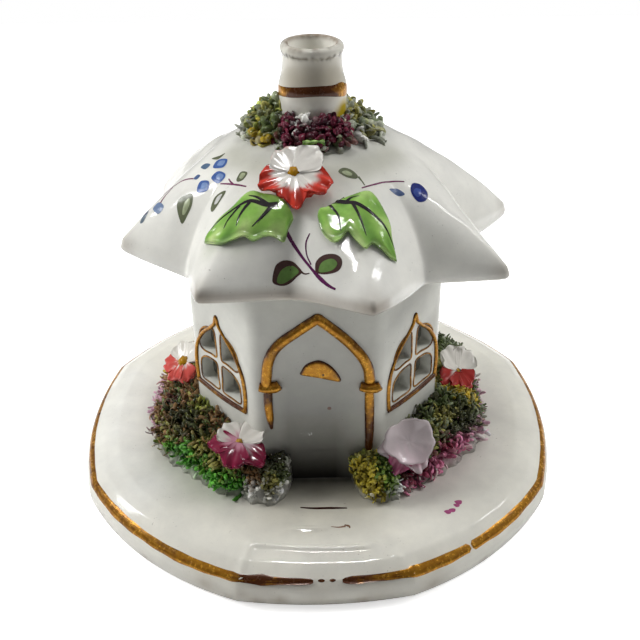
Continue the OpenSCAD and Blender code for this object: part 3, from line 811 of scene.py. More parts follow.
# How much of a fold's width the rounding of its ridges takes up
RIDGE_SOFT = 0.015


def fold_at(a):
    """How far a plan angle lies into a fold of the roof: 0 on a rounded ridge, 1 at the fold's bottom."""
    t = ((a - ROOF_TURN) % 360) / ROOF_STEP + 0.5
    k = np.floor(t)
    middle = 0.5 + np.where(k == 1, FOLD_SHIFT / ROOF_STEP, 0.0)
    part = t - k
    fold = np.where(part < middle, part / middle, (1 - part) / (1 - middle))
    return (np.sqrt(fold ** 2 + RIDGE_SOFT ** 2) - RIDGE_SOFT) / (math.sqrt(1 + RIDGE_SOFT ** 2) - RIDGE_SOFT)


def eave_radius(a):
    return EAVE_R + (POINT_R + ROOF_SKEW * np.sin(np.radians(a)) - EAVE_R) * (1 - fold_at(a)) ** EAVE_BULGE


# How far the fired eave has sunk, at most, and over how wide an angle from the front, where it has not
EAVE_SINK, SINK_REACH = 3.0, 45.0


def eave_height(a):
    w = fold_at(a)
    sunk = EAVE_SINK * (1 - np.exp(-(((a + 180) % 360 - 180) / SINK_REACH) ** 2))
    return EAVE_Z * w + (POINT_Z + ROOF_TILT * np.cos(np.radians(a - TILT_ANGLE))) * (1 - w) - sunk


def dome_z(r):
    return CROWN_Z - (CROWN_Z - POINT_Z) * (np.maximum(0, r - CROWN_R) / (POINT_R - CROWN_R)) ** DOME_BULGE


def roof_z(r, a):
    e = eave_radius(a)
    u = np.maximum(0, r - CROWN_R) / (e - CROWN_R)
    return dome_z(r) - (dome_z(e) - eave_height(a) - EAVE_T / 2) * np.minimum(u, 1.05) ** FOLD_BULGE


def roof_inside_z(r, a):
    e = eave_radius(a) - EAVE_T
    u = np.maximum(0, r - CROWN_R) / (e - CROWN_R)
    return dome_z(r) - ROOF_T - (dome_z(e) - ROOF_T - eave_height(a) + EAVE_T / 2) * u ** FOLD_BULGE


def roof_height(x, y):
    """The roof's outside, with the waves of its hand-pressed clay."""
    waves = 0.14 * np.sin(0.37 * x + 0.8) * np.sin(0.33 * y + 0.4) + 0.07 * np.sin(0.83 * x - 0.5 * y)
    r = np.hypot(x, y)
    return roof_z(r, np.degrees(np.arctan2(x, -y))) + waves * np.clip((r - CROWN_R) / 6, 0, 1)


def make_roof():
    """The eight-point cover: its top, its rounded eave and its inside."""
    steps = 384
    a = np.arange(steps) * 360 / steps
    e, h = eave_radius(a), eave_height(a)
    rim = EAVE_T / 2
    rows = [polar(FLUE_R, a, CROWN_Z), polar(CROWN_R - 1, a, CROWN_Z)]
    for u in np.linspace(0.03, 1, 46):
        p = polar(CROWN_R + (e - 0.45 * rim - CROWN_R) * u, a, 0)
        p[:, 2] = roof_height(p[:, 0], p[:, 1])
        rows.append(p)
    for turn in (28, 0, -30, -60, -90):
        t = math.radians(turn)
        rows.append(polar(e - rim + rim * math.cos(t), a, h + rim * math.sin(t)))
    for u in np.linspace(1, 0, 14):
        r = CROWN_R + (e - EAVE_T - CROWN_R) * u
        rows.append(polar(r, a, roof_inside_z(r, a)))
    rows.append(polar(FLUE_R, a, CROWN_Z - ROOF_T))
    points = np.concatenate(rows)
    brown, green = tone(128, 108, 84), tone(160, 172, 130)
    tips = ROOF_TURN + ROOF_STEP * (np.arange(8) + 0.5)
    spots = [(spot, 3.2, brown, 0.4) for spot in polar(eave_radius(tips) - 1, tips, eave_height(tips))]
    front = np.arange(-36.0, 20.0, 1.6)
    lip = polar(eave_radius(front) - 0.2, front, eave_height(front) + 0.1)
    spots += [(spot, 1.1, brown, 0.45) for spot in lip]
    # Partly a grey wash, partly painted shade: the roof painted darker round the chimney's moss
    spots += spots_round(13.5, range(-150, 200, 30), 78, 4.0, WASH_AND_SHADE_GREY, 0.5)
    spots += spots_round(17.5, range(-70, 80, 15), 76.5, 3.5, tone(160, 160, 140), 0.45)
    spots += [
        ((-14, -29, 67), 2.5, green, 0.25),
        ((6, -31.5, 65), 2.5, green, 0.25),
        ((-19, -27.5, 66), 2.5, green, 0.3)]
    clay = Clay()
    # The roof is painted on the whiter copy of the glaze, as painted light
    clay.add(points, turned(grid_faces(len(rows), steps, wrap_rows=True, wrap_columns=True)),
             stain(points, spots, ROOF_LIT_WHITE))
    return clay.make("roof_cover", PORCELAIN, "roof", "white_glaze", ["roof_shell"])


def make_chimney():
    """The thrown pot with its dirt, a darker front, painted light inside its flue, and its gilt band."""
    steps = 176
    a = np.arange(steps) * 360 / steps
    outside = smooth_path([(7.6, 79.7), (7.0, 80.8), (6.9, 83.5), (6.9, 86.2), (6.9, 88.6), (6.7, 89.8),
                           (6.25, 91.4), (6.0, 93.2), (5.95, 94.8), (6.0, 95.3)], 3)
    lip = smooth_path([(6.0, 95.3), (6.25, 95.7), (6.35, 96.3), (6.15, 96.95), (5.5, 97.35), (4.9, 97.15),
                       (4.6, 96.5), (4.5, 95.4), (4.4, 94.4), (4.3, 90.0), (4.3, 84.0), (4.3, 77.2)], 6)[1:]
    profile = np.vstack([outside, lip])
    waver = 1 + 0.012 * np.sin(np.radians(2 * a + 40)) + 0.006 * np.sin(np.radians(5 * a))
    rows = [polar(r * (waver if r > 4.4 else 1.0), a, z) for r, z in profile]
    points = np.concatenate(rows)
    points[:, 2] = np.minimum(points[:, 2], CHIMNEY_TOP)
    rand = random.Random(3)
    spots = [(polar(6.2, rand.uniform(0, 360), rand.uniform(95.1, 95.9)), rand.uniform(0.2, 0.42),
              tone(44, 40, 32), rand.uniform(0.4, 0.9)) for _ in range(170)]
    # The pot's front is painted a darker greyish brown
    spots += [(polar(6.4, t, z), 3.4, tone(172, 162, 142), 0.4) for t in (-40, -10, 20, 50)
              for z in (90.5, 93)]
    spots += [(polar(rand.uniform(4.6, 6.2), rand.uniform(0, 360), 97.0), rand.uniform(0.3, 0.7),
               tone(112, 92, 66), rand.uniform(0.2, 0.7)) for _ in range(60)]
    spots += spots_round(4.9, range(0, 360, 8), 97.2, 0.55, tone(120, 92, 60), 0.6)
    # Painted light: the flue's inside is painted whiter than the glaze, as light falling into it
    spots += [(polar(4.2, t, z), 1.2, tone(252, 250, 242), 0.95) for t in range(0, 360, 24)
              for z in (92.5, 94, 95.5)]
    spots += [(polar(6.9, t, z), 1.5, tone(190, 164, 16), 0.95)
              for t, z in ((30, 80.6), (38, 81.6), (46, 83.0), (50, 82.0), (54, 83.8), (60, 84.6), (66, 85.2),
                           (70, 83.4))]
    clay = Clay()
    clay.add(points, turned(grid_faces(len(rows), steps, wrap_columns=True)), stain(points, spots))
    clay.make("chimney_pot", PORCELAIN, "roof", "white_glaze", ["chimney"])
    band = Clay()
    front = np.clip(np.cos(np.radians(a)), 0, 1)
    low = 86.8 + 1.6 * front ** 1.3 + 0.12 * np.sin(np.radians(4 * a + 30))
    top = 88.9 + 1.5 * front ** 1.3 + 0.12 * np.sin(np.radians(3 * a)) + 0.7 * np.exp(-((a - 62) / 18) ** 2)
    rows = []
    for k in range(6):
        z = low + (top - low) * k / 5
        r = np.interp(z, outside[:, 1], outside[:, 0]) * waver
        rows.append(polar(r + (0.06 if 0 < k < 5 else 0.0), a, z))
    wear = 0.05 + 1.0 * np.clip(np.cos(np.radians(a)) * 2.2 - 0.9, 0, 1)
    rub = [wear + 0.3 * abs(k - 2.5) / 2.5 - 0.15 for k in range(6)]
    band.add(np.concatenate(rows), turned(grid_faces(6, steps, wrap_columns=True)), WHITE,
             np.concatenate(rub))
    band.make("chimney_gilding", GILDING, "roof", "gilding")


# The level plane that the front sprig's points lie on and the slope at which they are brought onto the roof
SPRIG_LEVEL, SPRIG_SLOPE = 61.0, 29


def make_roof_paint(roof):
    """The painted sprigs: stems, outlined leaves, blue petals and berries."""
    purple, wine, blue, deep = tone(96, 34, 84), tone(120, 52, 92), tone(70, 104, 172), tone(24, 40, 120)
    outline, sage, leaf = tone(78, 54, 50), tone(170, 180, 144), tone(104, 138, 72)
    grey = tone(104, 110, 84)
    # The front sprig runs over the eave, so it is met from in front
    slope = math.radians(SPRIG_SLOPE)
    front = Surface(roof, SPRIG_LEVEL, (0, math.cos(slope), -math.sin(slope)))
    above = Surface(roof)
    clay = Clay()
    stems = [
        (front,
         [(-6.0, -8.2), (-4.3, -15.2), (-2.4, -21.3), (-1.0, -25.1), (0.7, -29.3), (2.5, -32.7),
          (3.8, -34.1)], [0.5, 0.75, 0.7, 0.55, 0.5, 0.85, 0.4], purple),
        (front, [(-0.8, -12.7), (-1.5, -16.3), (-1.4, -20.8), (-0.6, -24.7)], [0.25, 0.35, 0.25, 0.3],
         purple),
        (front, [(-2.6, -27.2), (-1.8, -28.2), (-0.9, -28.0)], [0.5, 0.3, 0.2], outline),
        (above, [(-35.0, -9.0), (-33.6, -7.7), (-31.5, -6.3), (-29.4, -5.7), (-26.7, -6.8), (-24.2, -8.5)],
         [0.7, 0.35, 0.3, 0.3, 0.35, 0.3], wine),
        (above, [(-29.0, -6.0), (-29.9, -7.2), (-30.8, -8.0), (-31.4, -8.8)], [0.3, 0.3, 0.3, 0.35], wine),
        (above, [(-18.3, -13.6), (-16.9, -15.0), (-15.5, -16.3), (-12.9, -17.9)], [0.3, 0.4, 0.45, 0.3],
         wine),
        (above, [(-16.6, -13.9), (-16.1, -15.2), (-15.4, -16.4)], [0.25, 0.35, 0.3], wine),
        (above, [(9.2, -19.6), (11.8, -17.9), (14.6, -16.1), (17.7, -14.9)], [0.3, 0.4, 0.35, 0.3], wine),
        (above, [(8.6, -17.2), (9.3, -18.0), (9.8, -18.8)], [0.5, 0.3, 0.25], grey)]
    for surface, stem, widths, colour in stems:
        enamel_stroke(clay, stem, widths, surface, colour)
    blots = [
        (front,
         [(-7.9, -30.9), (-7.4, -25.5), (-6.5, -23.5), (-5.4, -22.8), (-4.0, -23.4), (-3.0, -25.3),
          (-2.3, -27.5), (-3.3, -29.4), (-4.4, -31.5), (-5.7, -32.7), (-7.0, -32.4)], outline, 0.06),
        (front,
         [(-7.1, -30.9), (-6.2, -26.6), (-4.3, -24.9), (-2.9, -27.0), (-3.6, -28.9), (-5.0, -30.9),
          (-6.2, -31.9)], leaf, 0.13),
        (front,
         [(0.2, -27.5), (0.3, -23.7), (1.7, -21.2), (3.6, -20.8), (4.9, -22.4), (5.0, -25.3), (4.1, -27.6),
          (2.1, -28.5), (0.8, -28.2)], outline, 0.06),
        (front, [(0.8, -27.2), (1.4, -24.0), (3.2, -22.6), (4.2, -24.4), (3.4, -26.8), (1.7, -27.7)], leaf,
         0.13)]
    on_top = [
        ([(-27.5, -12.5), (-27.0, -11.1), (-24.4, -11.7), (-24.2, -13.6), (-25.3, -14.7), (-26.5, -15.0)],
         grey, 0.06),
        ([(-26.3, -13.9), (-25.9, -12.5), (-24.9, -12.3), (-24.8, -13.4), (-25.7, -14.2)], sage, 0.13),
        ([(-20.1, -17.5), (-19.2, -15.8), (-17.0, -16.7), (-18.0, -18.2), (-19.5, -19.2)], grey, 0.06),
        ([(-19.3, -17.6), (-18.8, -16.5), (-17.7, -16.9), (-18.6, -18.1)], PALE, 0.13),
        ([(-14.9, -15.2), (-14.1, -13.9), (-12.8, -14.7), (-13.6, -16.1), (-14.7, -16.1)], grey, 0.06),
        ([(-14.4, -15.2), (-13.9, -14.4), (-13.2, -14.9), (-13.8, -15.8)], sage, 0.13),
        ([(-20.7, -4.7), (-18.8, -5.2), (-17.8, -5.3), (-19.2, -6.4)], grey, 0.06),
        ([(4.8, -17.0), (5.7, -15.9), (7.2, -16.0), (8.5, -17.0), (8.1, -17.9), (6.3, -18.0)], grey, 0.06),
        ([(5.5, -17.0), (6.3, -16.5), (7.4, -16.9), (7.2, -17.5), (6.2, -17.5)], sage, 0.13),
        ([(-23.2, -12.2), (-22.7, -10.3), (-20.8, -11.6), (-21.0, -13.3)], blue, 0.08),
        ([(-20.3, -11.2), (-19.0, -10.4), (-17.5, -11.8), (-17.5, -12.9), (-18.9, -13.2)], blue, 0.08),
        ([(-20.1, -8.6), (-19.3, -6.7), (-17.2, -8.0), (-17.9, -10.0)], blue, 0.08),
        ([(-22.9, -6.1), (-21.9, -5.6), (-20.8, -6.9), (-21.8, -7.6)], tone(92, 120, 150), 0.08),
        ([(-24.2, -8.5), (-23.4, -8.0), (-22.8, -8.7), (-23.5, -9.2)], tone(84, 108, 150), 0.08),
        ([(-33.0, -9.0), (-31.8, -8.3), (-30.5, -10.2), (-31.6, -10.9)], tone(120, 142, 178), 0.08),
        ([(-35.8, -9.8), (-34.7, -8.3), (-34.0, -8.8), (-35.0, -10.2)], tone(112, 128, 142), 0.08),
        ([(14.6, -17.7), (16.1, -16.8), (17.7, -17.2), (16.0, -18.0)], tone(88, 106, 148), 0.08),
        ([(18.9, -16.4), (19.4, -14.5), (21.0, -13.9), (22.3, -15.2), (21.9, -17.0), (20.2, -17.7)], deep,
         0.08),
        ([(19.4, -16.4), (19.9, -15.4), (21.0, -15.2), (20.9, -16.4), (20.1, -17.0)], tone(60, 82, 160),
         0.15)]
    blots += [(above, *blot) for blot in on_top]
    for surface, ring, colour, lift in blots:
        enamel_blot(clay, ring, surface, colour, lift)
        if colour is blue:
            middle = np.mean(ring, axis=0)
            enamel_blot(clay, middle + (np.array(ring) - middle) * 0.55 + (0.2, -0.1), surface,
                        tone(126, 154, 204), lift + 0.07)
    clay.make("roof_sprigs", ENAMEL, "roof", "leaf_green")


# Raised leaves: upper and lower edge and the veins of each, in plan
LEAVES = {
    "leaf_left": (
        [(-3.8, -25.6), (-5.5, -23.2), (-7.8, -21.9), (-9.7, -21.1), (-11.5, -20.2), (-13.4, -20.7),
         (-15.8, -22.2), (-17.9, -23.5), (-19.4, -24.7), (-20.8, -25.9)],
        [(-3.8, -25.6), (-4.8, -27.0), (-5.6, -28.5), (-7.6, -28.4), (-9.4, -28.6), (-11.3, -29.3),
         (-13.0, -28.6), (-14.6, -28.9), (-16.0, -29.2), (-17.5, -29.1), (-19.0, -27.8), (-20.8, -25.9)],
        [
            ([(-6.7, -24.6), (-9.1, -24.4), (-12.0, -23.2), (-14.6, -23.5), (-17.7, -24.6), (-20.6, -25.8)],
             [1.3, 1.0, 0.7, 0.5, 0.35, 0.25]),
            ([(-7.6, -24.7), (-9.6, -26.4), (-11.5, -27.9)], [0.9, 0.6, 0.15]),
            ([(-12.0, -23.5), (-13.8, -25.5), (-14.5, -27.4)], [0.7, 0.45, 0.15]),
            ([(-13.9, -23.6), (-16.1, -25.8), (-16.8, -27.2)], [0.6, 0.4, 0.15]),
            ([(-8.6, -24.4), (-10.2, -23.0), (-12.2, -22.0)], [0.9, 0.6, 0.15])]),
    "leaf_right": (
        [(0.7, -26.3), (1.4, -25.3), (2.5, -25.2), (5.1, -23.8), (7.2, -22.3), (9.2, -21.2), (11.3, -21.0),
         (13.2, -23.2), (14.4, -25.4), (14.6, -27.9), (15.3, -31.1)],
        [(0.7, -26.3), (1.0, -27.7), (1.7, -29.4), (3.4, -31.3), (4.9, -31.2), (6.2, -29.9), (7.3, -31.0),
         (8.3, -31.8), (9.5, -32.3), (10.8, -30.9), (12.6, -31.3), (14.1, -31.6), (15.3, -31.1)],
        [
            ([(2.3, -25.2), (6.0, -24.7), (9.6, -25.8), (13.0, -27.4), (14.9, -30.2)],
             [0.5, 1.0, 0.8, 0.5, 0.2]),
            ([(2.8, -25.2), (4.5, -27.6), (4.9, -30.3)], [0.6, 0.4, 0.15]),
            ([(7.1, -24.9), (8.7, -28.2), (9.6, -30.6)], [0.7, 0.5, 0.15]),
            ([(6.1, -24.6), (7.1, -23.5), (8.6, -23.4)], [0.6, 0.4, 0.15])]),
    "leaf_small": (
        [(-2.0, -12.9), (-1.0, -11.9), (0.2, -11.5), (1.4, -12.0), (2.3, -13.0)],
        [(-2.0, -12.9), (-0.9, -13.6), (0.3, -13.9), (1.4, -13.6), (2.3, -13.0)],
        [([(-1.6, -12.9), (0.2, -12.7), (1.9, -13.0)], [0.2, 0.3, 0.15])])}
LEAF_ROWS, LEAF_COLUMNS = 61, 17
# The small leaf is thinner than the others and stands up at its lower edge
SMALL_LEAF_SIZE, SMALL_LEAF_TILT = 0.6, 4.0


def make_leaf(name, upper, lower, veins):
    """A pressed clay leaf that stands off the roof along its lower edge, and its painted veins."""
    size = 1.0 if name != "leaf_small" else SMALL_LEAF_SIZE
    one, two = resample(smooth_path(upper), LEAF_ROWS), resample(smooth_path(lower), LEAF_ROWS)
    v = np.linspace(0, 1, LEAF_COLUMNS)
    u = np.linspace(0, 1, LEAF_ROWS)[:, None]
    plan = one[:, None] * (1 - v)[None, :, None] + two[:, None] * v[None, :, None]
    plan = plan.reshape(-1, 2)
    ground = roof_height(plan[:, 0], plan[:, 1]).reshape(LEAF_ROWS, LEAF_COLUMNS)
    middle = 0.46 + 0.05 * np.sin(6 * u)
    crest = np.clip(1 - np.abs(v[None] - middle) / 0.55, 0, 1)
    ribs = np.sin(2 * math.pi * (3.2 * u - 0.55 * np.abs(v[None] - middle) * 2)) * np.abs(v[None] - middle)
    stand = 0.35 + 0.75 * v[None] ** 2 * np.sin(math.pi * np.clip(u, 0.05, 0.95))
    if name == "leaf_small":
        stand = stand + SMALL_LEAF_TILT * v[None]
    lift = size * (stand + 0.95 + 0.55 * crest ** 0.8 + 0.45 * ribs)
    edge = np.minimum(np.minimum(v, 1 - v)[None] * 6, np.minimum(u, 1 - u) * 14)
    round_off = np.sqrt(np.clip(1 - (1 - np.clip(edge, 0, 1)) ** 2, 0, 1))
    top = ground + size * (stand + 0.35) + (lift - size * (stand + 0.35)) * round_off
    under = ground + size * stand
    points = np.vstack([np.column_stack([plan, side.ravel()]) for side in (top, under)])
    bright, mid, dark = tone(220, 240, 164), tone(150, 200, 92), tone(70, 126, 46)
    patch = 0.5 + 0.5 * clouds([(x * 0.28, y * 0.28, 3.0) for x, y in plan])
    # Painted light and shade: lighter on the rib crests, darker in the hollows between them
    rib_light_and_shade = np.clip(0.5 + 0.9 * ribs.ravel(), 0, 1)
    share = np.clip(0.6 * patch + 0.55 * rib_light_and_shade - 0.1, 0, 1)[:, None]
    paint = np.where(share < 0.5, dark + (mid - dark) * share * 2, mid + (bright - mid) * (share * 2 - 1))
    fringe = np.clip(1 - edge.ravel() * 1.4, 0, 1)[:, None] * 0.35
    paint = blend(paint, tone(188, 204, 150), fringe)
    clay = Clay()
    clay.add(points, sheet_faces(LEAF_ROWS, LEAF_COLUMNS), np.vstack([paint, paint]))
    made = clay.make(name + "_clay", LEAF_CLAY, "roof", "leaf_green", [name])
    surface, lines = Surface(made), Clay()
    for path, widths in veins:
        enamel_stroke(lines, path, widths, surface, tone(36, 28, 32), lift=0.07)
    lines.make(name + "_veins", ENAMEL, "roof", "leaf_green")


# Flowers

# The pale front flower is one cupped petal: half its length and width, its depth and its ruffle
SHELL_SHAPE = (4.9, 5.6, 1.5, 0.5)


def petal(length, width, rise, curl, cup, point, ruffle, phase):
    """A pinched petal along +X from a flower's heart, as a closed thin sheet: points, faces and places u, v.
    A large point gives a square end, a small one a pointed end."""
    rows, columns = 17, 17
    u = np.linspace(0, 1, rows)[:, None]
    v = np.linspace(-1, 1, columns)[None]
    half = width / 2 * (0.34 + 0.66 * np.sin(np.radians(90) * np.minimum(1, u / 0.72)))
    half = half * np.where(u > 0.72, 1 - 0.16 * ((u - 0.72) / 0.28) ** 2, 1)
    crimp = 1 + 0.05 * np.sin(5.3 * v + phase) * u
    x = length * u * (1 - 0.38 * np.abs(v) ** point * u) * crimp
    y = v * half
    z = (length * (math.tan(math.radians(rise)) * u + curl * u ** 2)
         + cup * np.abs(v) ** 1.7 * half * (0.3 + 0.7 * u)
         + ruffle * np.sin(3.1 * np.pi * v + phase) * u ** 2)
    edge = np.minimum(1, np.minimum((1 - np.abs(v)) * 4, (1 - u) * 5))
    thick = 0.4 + 0.6 * np.sqrt(np.clip(1 - (1 - edge) ** 2, 0, 1))
    places = np.stack(np.broadcast_arrays(u, v), -1).reshape(-1, 2)
    return both_sides(x, y, z, thick), sheet_faces(rows, columns), np.vstack([places, places])


def shell(along, across, depth, ruffle, phase):
    """A cupped petal like a shell round a flower's heart, a closed thin sheet laid out like petal()."""
    rows, columns = 10, 48
    u = np.linspace(0.06, 1, rows)[:, None]
    t = np.arange(columns)[None] * 2 * np.pi / columns
    ragged = 1 + u ** 3 * (0.05 * np.sin(3 * t + phase) + 0.035 * np.sin(7 * t + 2 * phase)
                           + 0.02 * np.sin(13 * t))
    x, y = along * u * np.cos(t) * ragged, across * u * np.sin(t) * ragged
    z = depth * u ** 2.2 + ruffle * u ** 3 * np.sin(4 * t + phase) + 0.08 * ruffle * np.sin(9 * t) * u
    thick = 0.3 + 0.5 * np.sqrt(1 - u ** 4)
    n = rows * columns
    faces = turned(grid_faces(rows, columns, wrap_columns=True))
    faces += [((j + 1) % columns, 2 * n, j) for j in range(columns)]
    faces += [tuple(n + i if i < n else 2 * n + 1 for i in f[::-1]) for f in faces]
    last = n - columns
    faces += [(last + j, n + last + j, n + last + (j + 1) % columns, last + (j + 1) % columns)
              for j in range(columns)]
    points = np.vstack([both_sides(x, y, z, thick), [[0, 0, 0.3], [0, 0, -0.3]]])
    places = np.column_stack([0.5 + 0.5 * points[:, 0] / along, points[:, 1] / across])
    return points, faces, places


def flower_axes(angle, lean, spin=0.0):
    """Across, up and outward directions of a flower that leans out from the axis at a plan angle."""
    a, l = math.radians(angle), math.radians(lean)
    out = np.array([math.sin(a) * math.sin(l), -math.cos(a) * math.sin(l), math.cos(l)])
    across = np.array([math.cos(a), math.sin(a), 0.0])
    up = np.cross(out, across)
    s = math.radians(spin)
    return math.cos(s) * across + math.sin(s) * up, math.cos(s) * up - math.sin(s) * across, out


def make_flower(name, heart, axes, petals, heart_size, heart_colour, slot):
    """A flower of single petals round a heart. Each petal is (turn, lift, shape, root colour, tip colour,
    start, end): along it the paint changes from the one colour to the other between start and end."""
    across, up, out = axes
    clay = Clay()
    rand = random.Random(name)
    for turn, lift, shape, root, tip, start, end in petals:
        form = petal if len(shape) > len(SHELL_SHAPE) else shell
        points, faces, places = form(*shape, rand.uniform(0, 6))
        t = math.radians(turn)
        ray, side = math.cos(t) * across + math.sin(t) * up, math.cos(t) * up - math.sin(t) * across
        world = heart + (points[:, :1] + 0.5) * ray + points[:, 1:2] * side + (points[:, 2:] + lift) * out
        streak = clouds([(v * 6.0 + turn, u * 1.2, lift) for u, v in places])
        at = places[:, 0] + 0.22 * streak + 0.1 * np.abs(places[:, 1])
        share = np.clip((at - start) / (end - start), 0, 1)
        share = (share * share * (3 - 2 * share))[:, None]
        clay.add(world, faces, blend(root, tip, share))
    clay.make(name + "_petals", PETAL_CLAY, body_of(name), slot, [name])
    t = np.radians(np.arange(0, 360, 20))
    # Painted shade and light: the heart's lower rings darker, its top lighter
    rows, shade = [], []
    for k, (spread, rise) in enumerate(((1.1, -0.6), (1.0, 0.25), (0.78, 0.7), (0.42, 0.98))):
        wobble = 1 + 0.12 * np.sin(5 * t + k) + 0.08 * np.sin(9 * t + 2 * k)
        ring = np.outer(np.cos(t) * wobble * spread, across) + np.outer(np.sin(t) * wobble * spread, up)
        rows.append(heart + heart_size * (ring + rise * out * 0.8))
        shade.append(np.tile(heart_colour * (0.75 + 0.1 * k), (len(t), 1)))
    rows.append((heart + heart_size * 0.86 * out)[None])
    shade.append(heart_colour[None] * 1.1)
    clay = Clay()
    clay.add(np.concatenate(rows), dome_faces(4, len(t)), np.concatenate(shade))
    clay.make(name + "_heart", PETAL_CLAY, body_of(name), "flower_heart", [name + "_eye"])


def body_of(name):
    """The body that a flower or a bank of moss rides on."""
    return "roof" if name.startswith(("roof", "leaf", "moss")) else "house"


def make_flowers():
    cream, red, rust = tone(232, 228, 220), tone(206, 58, 42), tone(150, 38, 30)
    magenta, rose, lilac = tone(134, 26, 62), tone(176, 84, 122), tone(224, 204, 210)
    blush, ochre, gold = tone(204, 144, 164), tone(170, 124, 14), tone(180, 138, 50)
    coral, mist, brick, ruby = tone(200, 100, 86), tone(208, 196, 198), tone(206, 82, 74), tone(168, 50, 46)
    # Shapes: length, width, rise, curl, cup, point, ruffle
    make_flower("roof_flower", np.array([-3.6, -19.3, 78.0]), flower_axes(-8, 36), [
        (130, 0.3, (5.0, 7.0, 2, 0.03, 0.1, 3.2, 0.15), cream, coral, 0.88, 1.3),
        (46, 0.4, (6.3, 6.8, 2, 0.03, 0.1, 1.7, 0.15), cream, cream, 0.2, 1.2),
        (208, -0.1, (6.6, 6.6, 6, -0.04, 0.18, 3.0, 0.4), cream, red, 0.46, 0.66),
        (336, -0.1, (7.4, 6.2, 6, -0.04, 0.18, 3.0, 0.4), cream, red, 0.5, 0.7),
        (280, 0.1, (7.2, 7.4, 2, -0.1, 0.18, 1.1, 0.5), cream, red, 0.34, 0.56)], 1.35, ochre, "red_petal")
    make_flower("flower_left", polar(33.2, -30.0, 20.4), flower_axes(-10, 12), [
        (140, 0.2, (5.4, 6.4, 2, 0.04, 0.2, 2.5, 0.25), blush, cream, 0.1, 0.6),
        (48, 0.2, (5.8, 6.8, 4, 0.04, 0.2, 3.0, 0.25), cream, cream, 0.3, 1.0),
        (186, 0.3, (6.2, 6.2, 0, -0.12, 0.3, 2.4, 0.25), blush, magenta, 0.15, 0.5),
        (262, 0.5, (5.4, 6.8, -2, -0.28, 0.32, 2.4, 0.25), blush, magenta, 0.1, 0.45),
        (328, 0.2, (6.6, 6.2, -2, -0.2, 0.3, 2.4, 0.25), lilac, magenta, 0.25, 0.65)],
        1.2, gold, "magenta_petal")
    make_flower("flower_right", polar(34.0, 34.9, 19.0), flower_axes(14, 50), [
        (184, -0.4, (6.2, 5.6, 2, 0.0, 0.1, 2.4, 0.3), rose, mist, 0.4, 1.0),
        (232, -0.2, (6.6, 5.8, 4, 0.0, 0.1, 2.4, 0.4), blush, rose, 0.5, 0.9),
        (286, -0.2, (6.1, 5.8, 4, 0.0, 0.1, 2.4, 0.4), blush, lilac, 0.5, 0.9),
        (92, 0.3, SHELL_SHAPE, lilac, mist, 0.0, 0.65)], 0.45, mist, "pale_petal")
    make_flower("flower_side_left", polar(31.4, -90.0, 22.0), flower_axes(-50, 32), [
        (140, 0.2, (5.0, 6.4, 4, 0.04, 0.15, 2.5, 0.2), cream, cream, 0.3, 1.2),
        (78, 0.2, (5.2, 6.4, 4, 0.04, 0.15, 2.5, 0.2), cream, cream, 0.3, 1.2),
        (208, 0.1, (5.8, 6.2, -2, -0.1, 0.2, 2.2, 0.25), cream, brick, 0.1, 0.45),
        (262, 0.3, (5.0, 6.4, -4, -0.18, 0.2, 1.8, 0.25), coral, brick, 0.05, 0.5),
        (320, 0.2, (4.8, 6.2, -4, -0.18, 0.2, 2.0, 0.25), cream, brick, 0.1, 0.45)], 1.6, ochre, "red_petal")
    make_flower("flower_side_right", polar(33.0, 84.5, 20.6), flower_axes(42, 46), [
        (96, 0.3, (5.6, 7.2, 4, 0.06, 0.25, 3.0, 0.3), cream, cream, 0.3, 1.2),
        (30, 0.3, (5.6, 7.2, 4, 0.06, 0.25, 3.0, 0.3), cream, cream, 0.3, 1.2),
        (184, 0.2, (5.4, 5.8, 2, -0.06, 0.25, 2.0, 0.25), cream, ruby, 0.05, 0.4),
        (238, 0.5, (4.6, 6.0, 0, -0.12, 0.34, 2.0, 0.25), rust, ruby, 0.1, 0.6),
        (292, 0.4, (4.8, 6.0, 0, -0.1, 0.34, 2.0, 0.25), rust, ruby, 0.1, 0.6)], 0.9, gold, "red_petal")


# Moss


def wall_reach(a):
    """Distance of the wall's outside from the axis at plan angles."""
    s, c = np.abs(np.sin(np.radians(a))), np.abs(np.cos(np.radians(a)))
    return np.minimum(WALL_HALF / np.maximum(s, c), CUT_FACE * CUT_LEN / (CUT_X * s + CUT_Y * c))


def bank_points(a, t, width, height, inner, ground, ends, nests=(), slope=0.9):
    """Points on a bank of moss at plan angles a and turns t of its quarter round, from its foot to its back.
    A nest (plan angle, reach, share) is a dip, and slope makes the bank round (about 1) or straight (2)."""
    low, high = ends
    full = 0.3 + 0.7 * np.sin(np.pi * np.clip((a - low) / (high - low), 0, 1)) ** 0.3
    dip = sum(share * np.exp(-((a - angle) / reach) ** 2) for angle, reach, share in nests)
    r = inner(a) + width * full * np.cos(np.radians(t)) ** slope
    return polar(r, a, ground(r, a) + height * full * (1 - dip) * np.sin(np.radians(t)) ** slope)


# The slope of the moss round the chimney, see bank_points, and how far a dab of paint reaches up a bank
RING_SLOPE, DAB_TURN = 1.45, 28
# A shred's thickness and width against its own radius
SHRED_THICK, SHRED_WIDE = 0.55, 1.3
# Width and height of the mound under the shreds, width of the line they stand on and distance of the bank's
# axis from its back, all against the bank's own width and height
MOUND_W, MOUND_H, SHRED_LINE, AXIS_IN = 0.93, 0.9, 0.92, 0.1


